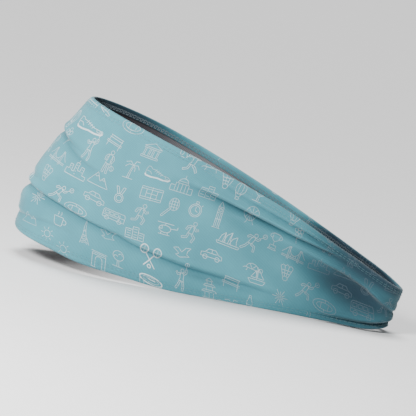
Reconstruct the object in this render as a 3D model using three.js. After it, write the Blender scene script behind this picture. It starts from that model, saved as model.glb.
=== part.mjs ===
// A wide, tapered sports headband: a closed loop of printed jersey over a wicking lining, turned in
// along both rims, and drawn together at the nape, where the two ends of the loop are seamed.
//
// Millimetres, +Z up. The relaxed loop stands on its lower rim. The brow is at -X, the nape at +X and
// the wearer's left side at -Y. The origin is on the standing surface, under the middle of the loop.
import * as THREE from "three";

// The relaxed loop.
const LOOP_LENGTH = 248; // brow to nape
const LOOP_DEPTH = 76; // left side to right side
const BROW_HEIGHT = 105; // upper rim at the brow, above the standing surface
const NAPE_HEIGHT = 29; // upper rim at the nape
const BROW_LEAN = 30; // how far the upper rim is set back at the brow
const NAPE_LEAN = 4; // how far the lower rim is set in at the nape
const BROW_RISE = 15; // how far the lower rim lifts at the brow
const NAPE_RISE = 3; // and at the nape
const RIM_BOW = 7; // how far the upper rim bows up between its ends
const SIDE_CROWN = 0.07; // how far the sides swell at mid height, as a share of the depth
const NAPE_SHARE = 0.36; // depth just before the nape, as a share of the full depth

// The loop seen from above, as shares of the way from brow to nape.
const BROW_ARC = 0.28; // where the round of the brow ends
const NAPE_ARC = 0.075; // length of the round of the nape
const TAPER_FROM = 0.15;
const TAPER_TO = 0.9;
const BROW_RISE_END = 0.25; // the lower rim lies flat from here
const NAPE_RISE_START = 0.9; // to here

// Cloth. Layers that lie on each other keep LAYER_GAP between them.
const SHELL_THICKNESS = 0.7;
const LINING_THICKNESS = 0.7;
const LAYER_GAP = 0.3;
const HEM_DEPTH = 4.6; // how far the shell is turned in over the lining at each rim
const LINING_TUCK = 3.1; // how far the lining reaches into each turned hem

// Flat elastic between the two layers at the nape, tacked to the lining at both ends.
const ELASTIC_THICKNESS = 0.9;
const ELASTIC_HEIGHT = 9;
const ELASTIC_REACH = 34; // how far each end reaches forward of the nape
const POCKET_EASE = 22; // length over which the lining parts from the shell to make room
const TACK_SET_BACK = 3.5; // from the elastic's end to the middle of each tack
const TACK_WIDTH = 3;
const TACK_HEIGHT = 7.8;
const TACK_STRANDS = 7;

// Sewing thread. Each hem has a row on its outer face and a row on its turned-in face.
const THREAD_DIAMETER = 0.6;
const HEM_ROW = 3.4; // distance of the rows from the rim

// The closing seam's thread, inside the nape between the two hems.
const SEAM_WIDTH = 3.6;
const SEAM_STRANDS = 9;
const SEAM_MARGIN = 1; // between the seam's ends and the hems' edges
const SEWING_DIAMETER = 0.5; // the thread of the seam and the tacks

// Blank care label, caught in the closing seam by one short end.
const LABEL_LENGTH = 24;
const LABEL_HEIGHT = 10;
const LABEL_THICKNESS = 0.8;

// Fineness of the faceted model.
const BROW_STEPS = 11; // per side
const SIDE_STEPS = 17;
const NAPE_STEPS = 8;
const RISE_STEPS = 5; // up the wall, between the two hems
const THREAD_SIDES = 6;
const TURN_STEPS = 4;

const HALF_PI = Math.PI / 2;
const SIDE_END = BROW_STEPS + SIDE_STEPS;
const HALF_STEPS = SIDE_END + NAPE_STEPS; // the nape's own station
const LOOP_STEPS = 2 * HALF_STEPS;
const THREAD_RADIUS = THREAD_DIAMETER / 2;

const mix = THREE.MathUtils.lerp;
const { smoothstep } = THREE.MathUtils;

// Where a station is in the loop seen from above: how far it is from brow to nape, and how far it
// swings to one side, both as shares. Stations run from the brow down the left side to the nape and
// back along the right side, and may be fractions.
function inPlan(station) {
  const round = (station + LOOP_STEPS) % LOOP_STEPS;
  const side = round < HALF_STEPS ? -1 : 1;
  const step = Math.min(round, LOOP_STEPS - round);
  let share = mix(BROW_ARC, 1 - NAPE_ARC, (step - BROW_STEPS) / SIDE_STEPS);
  let swing = 1;
  if (step < BROW_STEPS) {
    const turn = (step / BROW_STEPS) * HALF_PI;
    share = BROW_ARC * (1 - Math.cos(turn));
    swing = Math.sin(turn);
  } else if (step > SIDE_END) {
    const turn = ((HALF_STEPS - step) / NAPE_STEPS) * HALF_PI;
    share = 1 - NAPE_ARC * (1 - Math.cos(turn));
    swing = Math.sin(turn);
  }
  const taper = 1 - (1 - NAPE_SHARE) * smoothstep(share, TAPER_FROM, TAPER_TO);
  return { share, swing: side * swing * taper };
}

// Half the depth at the rims, for a swing of one.
const STATIONS = Array.from({ length: LOOP_STEPS }, (_, station) => station);
const WIDEST = Math.max(...STATIONS.map((station) => inPlan(station).swing));
const HALF_DEPTH = LOOP_DEPTH / 2 / (1 + SIDE_CROWN) / WIDEST;

function lowerRim(share) {
  const brow = Math.max(0, 1 - share / BROW_RISE_END);
  const nape = Math.max(0, (share - NAPE_RISE_START) / (1 - NAPE_RISE_START));
  return BROW_RISE * brow ** 2 + NAPE_RISE * nape ** 2;
}

function upperRim(share) {
  return mix(BROW_HEIGHT, NAPE_HEIGHT, share) + RIM_BOW * 4 * share * (1 - share);
}

// Point on the shell's outer face, at a share of the wall's height.
function onFace(station, rise) {
  const { share, swing } = inPlan(station);
  const brow = BROW_LEAN * rise ** 2;
  const nape = LOOP_LENGTH - NAPE_LEAN * (1 - rise);
  const crown = 1 + SIDE_CROWN * 4 * rise * (1 - rise);
  return new THREE.Vector3(
    mix(brow, nape, share) - LOOP_LENGTH / 2,
    HALF_DEPTH * crown * swing,
    mix(lowerRim(share), upperRim(share), rise),
  );
}

// Point set in from the outer face by a level distance. A negative inset stands proud of the face.
const PROBE = 0.05;
function inside(station, rise, inset) {
  const ahead = onFace(station + PROBE, rise);
  const behind = onFace(station - PROBE, rise);
  const inward = new THREE.Vector3(behind.y - ahead.y, ahead.x - behind.x, 0).normalize();
  return onFace(station, rise).addScaledVector(inward, inset);
}

// Heights up the wall as shares, from distances above the lower rim or below the upper one.
function wallHeight(station) {
  const { share } = inPlan(station);
  return upperRim(share) - lowerRim(share);
}
const above = (station, distance) => distance / wallHeight(station);
const below = (station, distance) => 1 - distance / wallHeight(station);

// Heights at which every layer has a corner, so that the layers' facets lie alongside each other.
function sharedRises(station) {
  const [low, high] = [above(station, HEM_DEPTH), below(station, HEM_DEPTH)];
  return Array.from({ length: RISE_STEPS + 1 }, (_, k) => mix(low, high, k / RISE_STEPS));
}

// Room between shell and lining: LAYER_GAP, and enough for the elastic where that lies.
const ELASTIC_END_X = LOOP_LENGTH / 2 - ELASTIC_REACH;
function layerRoom(station) {
  const { x } = onFace(station, 0.5);
  const pocket = smoothstep(x, ELASTIC_END_X - POCKET_EASE, ELASTIC_END_X);
  return LAYER_GAP + pocket * (ELASTIC_THICKNESS + LAYER_GAP);
}

// Insets of the faces of the layers, from the outside in.
const liningOuter = (station) => SHELL_THICKNESS + layerRoom(station);
const liningInner = (station) => liningOuter(station) + LINING_THICKNESS;
const hemOuter = (station) => liningInner(station) + LAYER_GAP;
const hemInner = (station) => hemOuter(station) + SHELL_THICKNESS;

// One closed body from rings of points. A loop joins its last ring to its first. Otherwise the two
// ends are closed with flat fans.
function bodyOf(rings, isLoop) {
  const sides = rings[0].length;
  const index = [];
  const joins = isLoop ? rings.length : rings.length - 1;
  for (let ring = 0; ring < joins; ring += 1) {
    const next = (ring + 1) % rings.length;
    for (let k = 0; k < sides; k += 1) {
      const l = (k + 1) % sides;
      const [a, b] = [ring * sides + k, ring * sides + l];
      const [c, d] = [next * sides + l, next * sides + k];
      index.push(a, b, c, a, c, d);
    }
  }
  if (!isLoop) {
    const last = (rings.length - 1) * sides;
    for (let k = 1; k < sides - 1; k += 1) {
      index.push(0, k + 1, k);
      index.push(last, last + k, last + k + 1);
    }
  }
  const geometry = new THREE.BufferGeometry().setFromPoints(rings.flat());
  geometry.setIndex(index);
  geometry.computeVertexNormals();
  return geometry;
}

// A body swept round the whole loop. The section gives a station's corners as [rise, inset] pairs.
function loopBody(section) {
  const ring = (station) => section(station).map(([rise, inset]) => inside(station, rise, inset));
  return bodyOf(STATIONS.map(ring), true);
}

// The shell's section is a C: a tall outer wall with a turned-in hem at each rim.
function shellSection(station) {
  const skin = SHELL_THICKNESS;
  const [outer, inner] = [hemOuter(station), hemInner(station)];
  const rises = sharedRises(station);
  const corners = [
    [0, 0],
    [0, inner],
    [above(station, HEM_DEPTH), inner],
    [above(station, HEM_DEPTH), outer],
    [above(station, skin), outer],
    [above(station, skin), skin],
  ];
  corners.push(...rises.map((rise) => [rise, skin]));
  corners.push([below(station, skin), skin]);
  corners.push([below(station, skin), outer]);
  corners.push([below(station, HEM_DEPTH), outer]);
  corners.push([below(station, HEM_DEPTH), inner]);
  corners.push([1, inner]);
  corners.push([1, 0]);
  corners.push(...rises.reverse().map((rise) => [rise, 0]));
  return corners;
}

function liningSection(station) {
  const [outer, inner] = [liningOuter(station), liningInner(station)];
  const low = above(station, HEM_DEPTH - LINING_TUCK);
  const high = below(station, HEM_DEPTH - LINING_TUCK);
  const rises = sharedRises(station);
  const corners = [[low, outer], [low, inner]];
  corners.push(...rises.map((rise) => [rise, inner]));
  corners.push([high, inner], [high, outer]);
  corners.push(...rises.reverse().map((rise) => [rise, outer]));
  return corners;
}

// A row of hem thread round the loop, centred at the given rise and inset.
function hemThread(riseAt, insetAt) {
  return loopBody((station) =>
    Array.from({ length: THREAD_SIDES }, (_, k) => {
      const turn = (k / THREAD_SIDES) * 2 * Math.PI;
      const lift = above(station, THREAD_RADIUS * Math.sin(turn));
      return [riseAt(station) + lift, insetAt(station) + THREAD_RADIUS * Math.cos(turn)];
    }),
  );
}

const upperRow = (station) => below(station, HEM_ROW);
const lowerRow = (station) => above(station, HEM_ROW);
const onOutside = () => -LAYER_GAP - THREAD_RADIUS;
const onHem = (station) => hemInner(station) + LAYER_GAP + THREAD_RADIUS;

// Station on the left side where the middle of the outer face has the given X.
function stationAt(x) {
  let [low, high] = [BROW_STEPS, HALF_STEPS];
  for (let k = 0; k < 40; k += 1) {
    const middle = (low + high) / 2;
    if (onFace(middle, 0.5).x < x) low = middle;
    else high = middle;
  }
  return low;
}

// The elastic lies level round the nape, midway up the nape's own height.
const NAPE_MIDDLE = (NAPE_RISE + NAPE_HEIGHT) / 2;
const riseAtHeight = (station, height) => above(station, height - lowerRim(inPlan(station).share));

function elasticBody() {
  const end = stationAt(ELASTIC_END_X);
  const stations = [end];
  for (let k = Math.ceil(end + 0.2); k <= LOOP_STEPS - end - 0.2; k += 1) stations.push(k);
  stations.push(LOOP_STEPS - end);
  const outer = SHELL_THICKNESS + LAYER_GAP;
  const inner = outer + ELASTIC_THICKNESS;
  const rings = stations.map((station) => {
    const low = riseAtHeight(station, NAPE_MIDDLE - ELASTIC_HEIGHT / 2);
    const high = riseAtHeight(station, NAPE_MIDDLE + ELASTIC_HEIGHT / 2);
    const corners = [[low, outer], [low, inner], [high, inner], [high, outer]];
    return corners.map(([rise, inset]) => inside(station, rise, inset));
  });
  return bodyOf(rings, false);
}

// A thread that runs to and fro as it climbs a layer's inner face, with round turns. The place
// function gives the point that is a distance across from the row's middle, at a height.
function serpentineThread(place, width, lowZ, highZ, strands) {
  const pitch = (highZ - lowZ) / (strands - 1);
  const reach = (width - pitch) / 2;
  const points = [];
  for (let strand = 0; strand < strands; strand += 1) {
    const side = strand % 2 ? -1 : 1;
    const z = lowZ + strand * pitch;
    points.push(place(-side * reach, z), place(0, z), place(side * reach, z));
    if (strand === strands - 1) break;
    for (let k = 1; k < TURN_STEPS; k += 1) {
      const turn = (k / TURN_STEPS) * Math.PI;
      const across = reach + (Math.sin(turn) * pitch) / 2;
      points.push(place(side * across, z + ((1 - Math.cos(turn)) * pitch) / 2));
    }
  }
  const section = new THREE.Shape();
  section.absarc(0, 0, SEWING_DIAMETER / 2, 0, 2 * Math.PI);
  return new THREE.ExtrudeGeometry(section, {
    steps: 2 * points.length,
    curveSegments: THREAD_SIDES / 2,
    extrudePath: new THREE.CatmullRomCurve3(points, false, "centripetal"),
  });
}

// A tack through the lining and one end of the elastic. Side is -1 on the left and 1 on the right.
const SEWING_LIFT = LAYER_GAP + SEWING_DIAMETER / 2;
function tackBody(side) {
  const middleX = ELASTIC_END_X + TACK_SET_BACK;
  const place = (across, z) => {
    const left = stationAt(middleX + across);
    const station = side < 0 ? left : LOOP_STEPS - left;
    return inside(station, riseAtHeight(station, z), liningInner(station) + SEWING_LIFT);
  };
  const [low, high] = [NAPE_MIDDLE - TACK_HEIGHT / 2, NAPE_MIDDLE + TACK_HEIGHT / 2];
  return serpentineThread(place, TACK_WIDTH, low, high, TACK_STRANDS);
}

// The seam's thread stands as far off the nape as the lining curves forward at the seam's edges.
const SEAM_RELIEF = 0.35;
const SEAM_LOW = NAPE_RISE + HEM_DEPTH + SEAM_MARGIN;
const SEAM_HIGH = NAPE_HEIGHT - HEM_DEPTH - SEAM_MARGIN;
function seamX(z) {
  const face = inside(HALF_STEPS, riseAtHeight(HALF_STEPS, z), liningInner(HALF_STEPS));
  return face.x - SEAM_RELIEF - SEWING_LIFT;
}

function seamBody() {
  const place = (across, z) => new THREE.Vector3(seamX(z), across, z);
  return serpentineThread(place, SEAM_WIDTH, SEAM_LOW, SEAM_HIGH, SEAM_STRANDS);
}

// The label's sewn end lies against the seam's thread, at its foremost point.
const LABEL_END_X = seamX(NAPE_MIDDLE - LABEL_HEIGHT / 2) - SEWING_LIFT;

function labelBody() {
  const label = new THREE.BoxGeometry(LABEL_LENGTH, LABEL_THICKNESS, LABEL_HEIGHT);
  label.translate(LABEL_END_X - LABEL_LENGTH / 2, 0, NAPE_MIDDLE);
  return label;
}

const headband = new THREE.Group();
headband.name = "sports_headband";

function addPiece(name, geometry, color, roughness) {
  const material = new THREE.MeshStandardMaterial({ color, roughness, metalness: 0 });
  const piece = new THREE.Mesh(geometry, material);
  piece.name = name;
  headband.add(piece);
}

addPiece("printed_shell", loopBody(shellSection), 0x7fb0c4, 0.85);
addPiece("inner_lining", loopBody(liningSection), 0x8d8f95, 0.95);
addPiece("upper_hem_needle_thread", hemThread(upperRow, onOutside), 0x86b6c8, 0.6);
addPiece("upper_hem_looper_thread", hemThread(upperRow, onHem), 0x5f6b74, 0.6);
addPiece("lower_hem_needle_thread", hemThread(lowerRow, onOutside), 0x86b6c8, 0.6);
addPiece("lower_hem_looper_thread", hemThread(lowerRow, onHem), 0x5f6b74, 0.6);
addPiece("nape_elastic", elasticBody(), 0xe6e6e2, 0.8);
addPiece("elastic_tack_left", tackBody(-1), 0x5f6b74, 0.6);
addPiece("elastic_tack_right", tackBody(1), 0x5f6b74, 0.6);
addPiece("nape_seam_thread", seamBody(), 0x5f6b74, 0.6);
addPiece("care_label", labelBody(), 0xf1f1ee, 0.7);

export default headband;
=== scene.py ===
# %% [markdown]
# # A wide sports headband
#
# The real thing is a loop of printed stretch jersey over a grey wicking lining. Both long edges are
# turned in and cover-stitched. The loop is closed by a seam at the nape, where an elastic gathers it.
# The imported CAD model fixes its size. Here every layer of cloth is laid on one folded surface, and the
# print, the stitches and the label are laid on the cloth. Everything is in metres.

import math

import bpy
import numpy as np
from mathutils import Matrix, Vector


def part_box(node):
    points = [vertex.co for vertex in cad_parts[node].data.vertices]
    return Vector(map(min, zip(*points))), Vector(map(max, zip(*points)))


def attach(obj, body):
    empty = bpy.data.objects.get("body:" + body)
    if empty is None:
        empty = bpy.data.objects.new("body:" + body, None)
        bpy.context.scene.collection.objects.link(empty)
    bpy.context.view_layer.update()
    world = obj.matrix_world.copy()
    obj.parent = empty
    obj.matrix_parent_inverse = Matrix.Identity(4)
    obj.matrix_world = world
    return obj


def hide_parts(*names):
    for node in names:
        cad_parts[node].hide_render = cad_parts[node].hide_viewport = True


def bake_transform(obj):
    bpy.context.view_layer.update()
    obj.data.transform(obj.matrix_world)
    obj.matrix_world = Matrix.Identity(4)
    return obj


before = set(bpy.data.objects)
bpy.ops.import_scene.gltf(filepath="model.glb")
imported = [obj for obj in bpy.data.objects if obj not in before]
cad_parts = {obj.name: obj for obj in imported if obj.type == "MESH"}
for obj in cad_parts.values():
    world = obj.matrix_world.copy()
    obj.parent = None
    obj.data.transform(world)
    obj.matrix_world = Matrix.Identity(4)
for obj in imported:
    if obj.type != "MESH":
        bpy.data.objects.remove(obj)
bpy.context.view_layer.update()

# %% [markdown]
# ## The camera
#
# The band is seen from its left side, from a little above, with its lower rim tipped down towards the
# nape. The camera turns about its own line of sight for that. A long lens keeps both ends true.

# %% Camera
CAMERA_DISTANCE = 1.6
CAMERA_ELEVATION = math.radians(8.6)
CAMERA_ROLL = math.radians(12.6)
FIELD_OF_VIEW = 0.2588  # width seen at the band, in metres
AIM = Vector((-0.0076, -0.018, 0.0548))


def add_camera():
    data = bpy.data.cameras.new("camera")
    data.sensor_width = 36.0
    data.lens = data.sensor_width * CAMERA_DISTANCE / FIELD_OF_VIEW
    data.clip_start = 0.05
    data.clip_end = 20.0
    camera = bpy.data.objects.new("camera", data)
    bpy.context.scene.collection.objects.link(camera)
    away = Vector((0, -math.cos(CAMERA_ELEVATION), math.sin(CAMERA_ELEVATION)))
    tilt = Matrix.Rotation(math.pi / 2 - CAMERA_ELEVATION, 4, "X")
    roll = Matrix.Rotation(CAMERA_ROLL, 4, "Z")
    camera.matrix_world = Matrix.Translation(AIM + away * CAMERA_DISTANCE) @ tilt @ roll
    bpy.context.scene.camera = camera
    return camera


camera = add_camera()
print("lens", round(camera.data.lens, 1), "mm")

# %% [markdown]
# ## The loop's plain shape
#
# These are the dimensions of the CAD part, in metres. A place on the cloth is given by two numbers.
# The first is the way round the loop from the middle of the brow: 0 is the brow, 1 the nape, and the
# wearer's right side is negative. The second is the rise, from 0 at the lower rim to 1 at the upper.
# With those, all layers can share one set of folds and never cross.

# %% Dimensions
MM = 0.001
LENGTH = 248 * MM
DEPTH = 76 * MM
BROW_HEIGHT = 105 * MM  # height of the upper rim at the brow
NAPE_HEIGHT = 29 * MM
BROW_LEAN = 30 * MM  # how far the brow's upper rim lies behind its lower rim
NAPE_LEAN = 4 * MM
BROW_RISE = 15 * MM  # height of the lower rim at the brow
NAPE_RISE = 3 * MM
RIM_BOW = 7 * MM
SIDE_CROWN = 0.07  # how much the sides bulge at mid height
NAPE_SHARE = 0.36  # width near the nape, as a share of the width near the brow
BROW_ARC = 0.28  # share of the length that the brow's round end takes
NAPE_ARC = 0.075
TAPER_FROM = 0.15
TAPER_TO = 0.9
BROW_RISE_END = 0.25
NAPE_RISE_START = 0.9
SKIN = 0.7 * MM  # thickness of the jersey
LINING = 0.7 * MM
GAP = 0.3 * MM  # between layers
HEM = 4.6 * MM  # how far the shell is turned in
TUCK = 3.1 * MM  # how far the lining reaches under a hem
ELASTIC = 0.9 * MM
ELASTIC_HEIGHT = 9 * MM
ELASTIC_REACH = 34 * MM  # from the nape to each end of the elastic
POCKET_EASE = 22 * MM
HEM_ROW = 3.4 * MM  # from the rim to the middle of the stitching

# %% The loop seen from above
BROW_STEPS, SIDE_STEPS, NAPE_STEPS = 11.0, 17.0, 8.0
SIDE_END = BROW_STEPS + SIDE_STEPS
HALF_STEPS = SIDE_END + NAPE_STEPS


def ease(value, start, end):
    """A smooth step from 0 at start to 1 at end."""
    share = np.clip((value - start) / (end - start), 0, 1)
    return share * share * (3 - 2 * share)


def plan(station):
    """How far a station is from brow to nape, and how far it swings to one side, as shares."""
    step = np.abs(station)
    share = BROW_ARC + (1 - NAPE_ARC - BROW_ARC) * (step - BROW_STEPS) / SIDE_STEPS
    brow = np.clip(step / BROW_STEPS, 0, 1) * np.pi / 2
    nape = np.clip((HALF_STEPS - step) / NAPE_STEPS, 0, 1) * np.pi / 2
    share = np.where(step < BROW_STEPS, BROW_ARC * (1 - np.cos(brow)), share)
    share = np.where(step > SIDE_END, 1 - NAPE_ARC * (1 - np.cos(nape)), share)
    taper = 1 - (1 - NAPE_SHARE) * ease(share, TAPER_FROM, TAPER_TO)
    return share, -np.sign(station) * np.sin(brow) * np.sin(nape) * taper


STATIONS = np.linspace(0, HALF_STEPS, 6001)
WIDEST = np.abs(plan(STATIONS)[1]).max()
HALF_DEPTH = DEPTH / 2 / (1 + SIDE_CROWN) / WIDEST


def lower_rim(share):
    brow = np.maximum(0, 1 - share / BROW_RISE_END)
    nape = np.maximum(0, (share - NAPE_RISE_START) / (1 - NAPE_RISE_START))
    return BROW_RISE * brow**2 + NAPE_RISE * nape**2


def upper_rim(share):
    return BROW_HEIGHT + (NAPE_HEIGHT - BROW_HEIGHT) * share + RIM_BOW * 4 * share * (1 - share)


def plain_face(station, rise):
    """Points of the shell's outer face before it is folded."""
    share, swing = plan(station)
    brow = BROW_LEAN * rise**2
    nape = LENGTH - NAPE_LEAN * (1 - rise)
    crown = 1 + SIDE_CROWN * 4 * rise * (1 - rise)
    x = brow + (nape - brow) * share - LENGTH / 2
    y = HALF_DEPTH * crown * swing
    z = lower_rim(share) + (upper_rim(share) - lower_rim(share)) * rise
    return np.stack(np.broadcast_arrays(x, y, z), axis=-1)


# %% Way round the loop, by length of cloth
half_loop = plain_face(STATIONS, np.full_like(STATIONS, 0.5))
steps = np.linalg.norm(np.diff(half_loop[:, :2], axis=0), axis=1)
lengths = np.concatenate([[0.0], np.cumsum(steps)])
HALF_LOOP = lengths[-1]


def station_at(way):
    """The station at a way round the loop, from -1 to 1."""
    return np.sign(way) * np.interp(np.abs(way) * HALF_LOOP, lengths, STATIONS)


def height_at(way):
    share, _ = plan(station_at(way))
    return upper_rim(share) - lower_rim(share)


print("relaxed loop", round(2 * HALF_LOOP * 1000), "mm round")

# %% [markdown]
# ## Folds
#
# Slack stretch cloth falls into long creases that run with the band and die out. Each is written as a
# short table: where it passes, how deep it is there, and how far it spreads above and below. A crease
# has a sharp valley and soft flanks. A table is easier to place and to read than a pushed-about mesh.

# %% Crease tables
# way, rise, depth, spread above, spread below, in millimetres where it is a length
LEFT_CREASES = {
    "brow_swell": [
        (-0.16, 0.26, 0.0, 15.0, 15.0),
        (-0.08, 0.26, -1.3, 15.0, 15.0),
        (0.06, 0.26, -1.6, 15.0, 15.0),
        (0.14, 0.26, 0.0, 15.0, 15.0),
    ],
    "temple_notch": [
        (-0.07, 0.75, 0.0, 1.5, 3.0),
        (-0.01, 0.74, 2.6, 1.3, 2.6),
        (0.05, 0.715, 1.8, 1.2, 2.4),
        (0.10, 0.703, 1.1, 1.2, 2.6),
        (0.17, 0.69, 0.0, 1.5, 3.0),
    ],
    "temple_fold": [
        (0.04, 0.71, 0.0, 1.2, 3.0),
        (0.09, 0.677, 1.0, 1.0, 2.6),
        (0.14, 0.652, 1.4, 1.0, 2.4),
        (0.18, 0.642, 1.1, 1.0, 2.6),
        (0.22, 0.635, 0.0, 1.4, 3.0),
    ],
    "brow_dimple": [
        (-0.05, 0.40, 0.0, 2.0, 2.5),
        (0.03, 0.395, 0.7, 1.6, 2.4),
        (0.08, 0.405, 0.5, 1.6, 2.6),
        (0.13, 0.42, 0.0, 2.0, 3.0),
    ],
    "cheek_fold": [
        (0.07, 0.45, 0.0, 2.5, 3.5),
        (0.12, 0.468, 0.5, 2.0, 3.5),
        (0.20, 0.488, 0.4, 2.2, 3.5),
        (0.27, 0.50, 0.0, 2.6, 4.0),
    ],
    "long_crease": [
        (-0.10, 0.345, 0.0, 2.0, 4.0),
        (-0.02, 0.325, 2.8, 1.4, 3.4),
        (0.05, 0.322, 2.2, 1.1, 3.2),
        (0.12, 0.320, 2.2, 1.0, 3.4),
        (0.20, 0.312, 2.1, 1.0, 3.4),
        (0.30, 0.288, 2.1, 1.1, 3.8),
        (0.34, 0.256, 2.1, 1.2, 4.0),
        (0.41, 0.232, 2.2, 1.3, 3.8),
        (0.49, 0.212, 2.2, 1.4, 3.6),
        (0.56, 0.200, 1.6, 1.4, 3.2),
        (0.64, 0.185, 1.2, 1.5, 3.2),
        (0.74, 0.150, 0.0, 1.8, 3.4),
    ],
    "lower_branch": [
        (0.44, 0.175, 0.0, 1.8, 2.6),
        (0.51, 0.163, 0.9, 1.5, 2.4),
        (0.58, 0.142, 0.7, 1.5, 2.4),
        (0.66, 0.125, 0.0, 1.8, 2.6),
    ],
    "jaw_fold": [
        (-0.06, 0.11, 0.0, 1.5, 3.0),
        (0.02, 0.115, 1.0, 1.2, 2.8),
        (0.08, 0.135, 1.0, 1.1, 2.6),
        (0.14, 0.160, 0.7, 1.2, 2.8),
        (0.20, 0.162, 0.4, 1.4, 3.0),
        (0.27, 0.160, 0.0, 1.8, 3.2),
    ],
    "upper_crease": [
        (0.33, 0.795, 0.0, 2.4, 4.0),
        (0.39, 0.807, 1.1, 1.7, 3.8),
        (0.45, 0.813, 2.3, 1.0, 3.6),
        (0.52, 0.812, 2.9, 0.8, 3.4),
        (0.60, 0.812, 2.9, 0.8, 3.0),
        (0.68, 0.812, 2.5, 0.8, 2.4),
        (0.75, 0.835, 1.9, 0.8, 1.8),
        (0.80, 0.870, 0.8, 0.9, 1.6),
        (0.86, 0.900, 0.0, 1.0, 1.6),
    ],
    "hem_ledge": [
        (0.40, 0.945, 0.0, 1.2, 1.8),
        (0.47, 0.925, 0.8, 0.8, 1.6),
        (0.55, 0.905, 1.3, 0.7, 1.5),
        (0.64, 0.902, 1.5, 0.7, 1.4),
        (0.72, 0.918, 1.4, 0.7, 1.3),
        (0.78, 0.940, 0.5, 0.7, 1.1),
        (0.84, 0.955, 0.0, 0.8, 1.1),
    ],
    "nape_tuck": [
        (0.78, 0.070, 0.0, 1.2, 1.8),
        (0.86, 0.080, 1.5, 1.0, 1.8),
        (0.93, 0.110, 2.2, 0.9, 1.8),
        (1.00, 0.130, 1.3, 1.0, 1.6),
        (1.05, 0.130, 0.0, 1.2, 1.6),
    ],
}
RIGHT_CREASES = {
    "long_crease": [
        (-0.80, 0.26, 0.0, 2.0, 3.4),
        (-0.70, 0.28, 1.2, 1.4, 3.2),
        (-0.58, 0.33, 1.8, 1.1, 3.2),
        (-0.44, 0.38, 1.7, 1.1, 3.4),
        (-0.30, 0.42, 1.2, 1.3, 3.6),
        (-0.18, 0.44, 0.0, 2.0, 4.0),
    ],
    "upper_crease": [
        (-0.90, 0.86, 0.0, 1.4, 2.0),
        (-0.80, 0.82, 1.0, 1.1, 2.2),
        (-0.66, 0.79, 1.7, 0.9, 2.6),
        (-0.52, 0.76, 1.6, 0.9, 3.0),
        (-0.38, 0.74, 0.9, 1.3, 3.4),
        (-0.26, 0.73, 0.0, 2.0, 4.0),
    ],
    "lower_branch": [
        (-0.66, 0.13, 0.0, 1.8, 2.8),
        (-0.52, 0.15, 1.1, 1.4, 2.8),
        (-0.36, 0.17, 1.0, 1.4, 3.0),
        (-0.22, 0.19, 0.0, 1.8, 3.2),
    ],
    "brow_fold": [
        (-0.26, 0.60, 0.0, 2.0, 3.0),
        (-0.16, 0.61, 1.1, 1.3, 2.8),
        (-0.08, 0.60, 1.0, 1.3, 2.6),
        (0.00, 0.58, 0.0, 1.8, 3.0),
    ],
    "nape_tuck": [
        (-1.03, 0.62, 0.0, 1.2, 1.6),
        (-0.97, 0.66, 0.9, 1.0, 1.6),
        (-0.90, 0.70, 1.0, 1.0, 1.8),
        (-0.82, 0.72, 0.0, 1.2, 2.0),
    ],
}

# %% [markdown]
# Near the nape the elastic shortens the loop while the cloth keeps its width, so each side buckles
# into one long hollow. Its upper edge rolls over it, and its lower side slopes out again.

# %% Hollow tables
# way, rise of the lower edge, rise of the upper edge, depth, roll of the upper edge
LEFT_HOLLOW = [
    (0.47, 0.68, 0.765, 0.0, 0.0),
    (0.55, 0.63, 0.752, 1.4, 0.3),
    (0.63, 0.54, 0.742, 1.5, 0.5),
    (0.70, 0.46, 0.745, 2.6, 0.9),
    (0.77, 0.36, 0.742, 4.2, 1.3),
    (0.83, 0.27, 0.745, 6.9, 1.6),
    (0.88, 0.24, 0.710, 7.6, 1.4),
    (0.92, 0.25, 0.620, 6.0, 1.0),
    (0.955, 0.28, 0.520, 3.6, 0.5),
    (0.985, 0.32, 0.450, 1.4, 0.1),
    (1.03, 0.34, 0.430, 0.0, 0.0),
]
RIGHT_HOLLOW = [
    (-1.02, 0.36, 0.52, 0.0, 0.0),
    (-0.96, 0.32, 0.56, 1.8, 0.2),
    (-0.90, 0.26, 0.62, 3.8, 0.7),
    (-0.82, 0.26, 0.66, 4.6, 1.0),
    (-0.74, 0.34, 0.66, 3.6, 0.7),
    (-0.66, 0.42, 0.64, 1.8, 0.3),
    (-0.58, 0.48, 0.62, 0.0, 0.0),
]

# %% Fold fields
ROUND = 2.0  # one whole turn of the loop, in ways
SMOOTHING = 30  # samples on each side that round a table's corners
CREASE_STRENGTH = 1.5  # all creases are this much deeper than their tables say
RIDGE_SHARE = 0.22  # height of the ridge above a crease, as a share of its depth
LIP_SHARE = 0.14  # how proud a hollow's upper edge stands, as a share of its depth


def table_at(table, way):
    """A table's columns at each way, smoothed so that a crease bends without corners."""
    rows = np.array(table, float)
    middle = (rows[0, 0] + rows[-1, 0]) / 2
    near = (way - middle + ROUND / 2) % ROUND - ROUND / 2 + middle
    fine = np.linspace(rows[0, 0] - 0.1, rows[-1, 0] + 0.1, 1201)
    window = np.hanning(2 * SMOOTHING + 1)
    columns = []
    for column in rows.T[1:]:
        track = np.pad(np.interp(fine, rows[:, 0], column), SMOOTHING, "edge")
        track = np.convolve(track, window / window.sum(), "valid")
        columns.append(np.interp(near, fine, track))
    return columns


def crease(table, way, rise, height):
    """Depth of one crease, in metres."""
    centre, depth, above, below = table_at(table, way)
    offset = (rise - centre) * height / MM
    spread = np.where(offset > 0, above, below)
    valley = np.exp(-(np.abs(offset / spread) ** 1.35))
    ridge = RIDGE_SHARE * np.exp(-(((offset - 2.6 * above) / (1.3 * above)) ** 2))
    return CREASE_STRENGTH * depth * (valley - ridge) * MM


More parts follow.
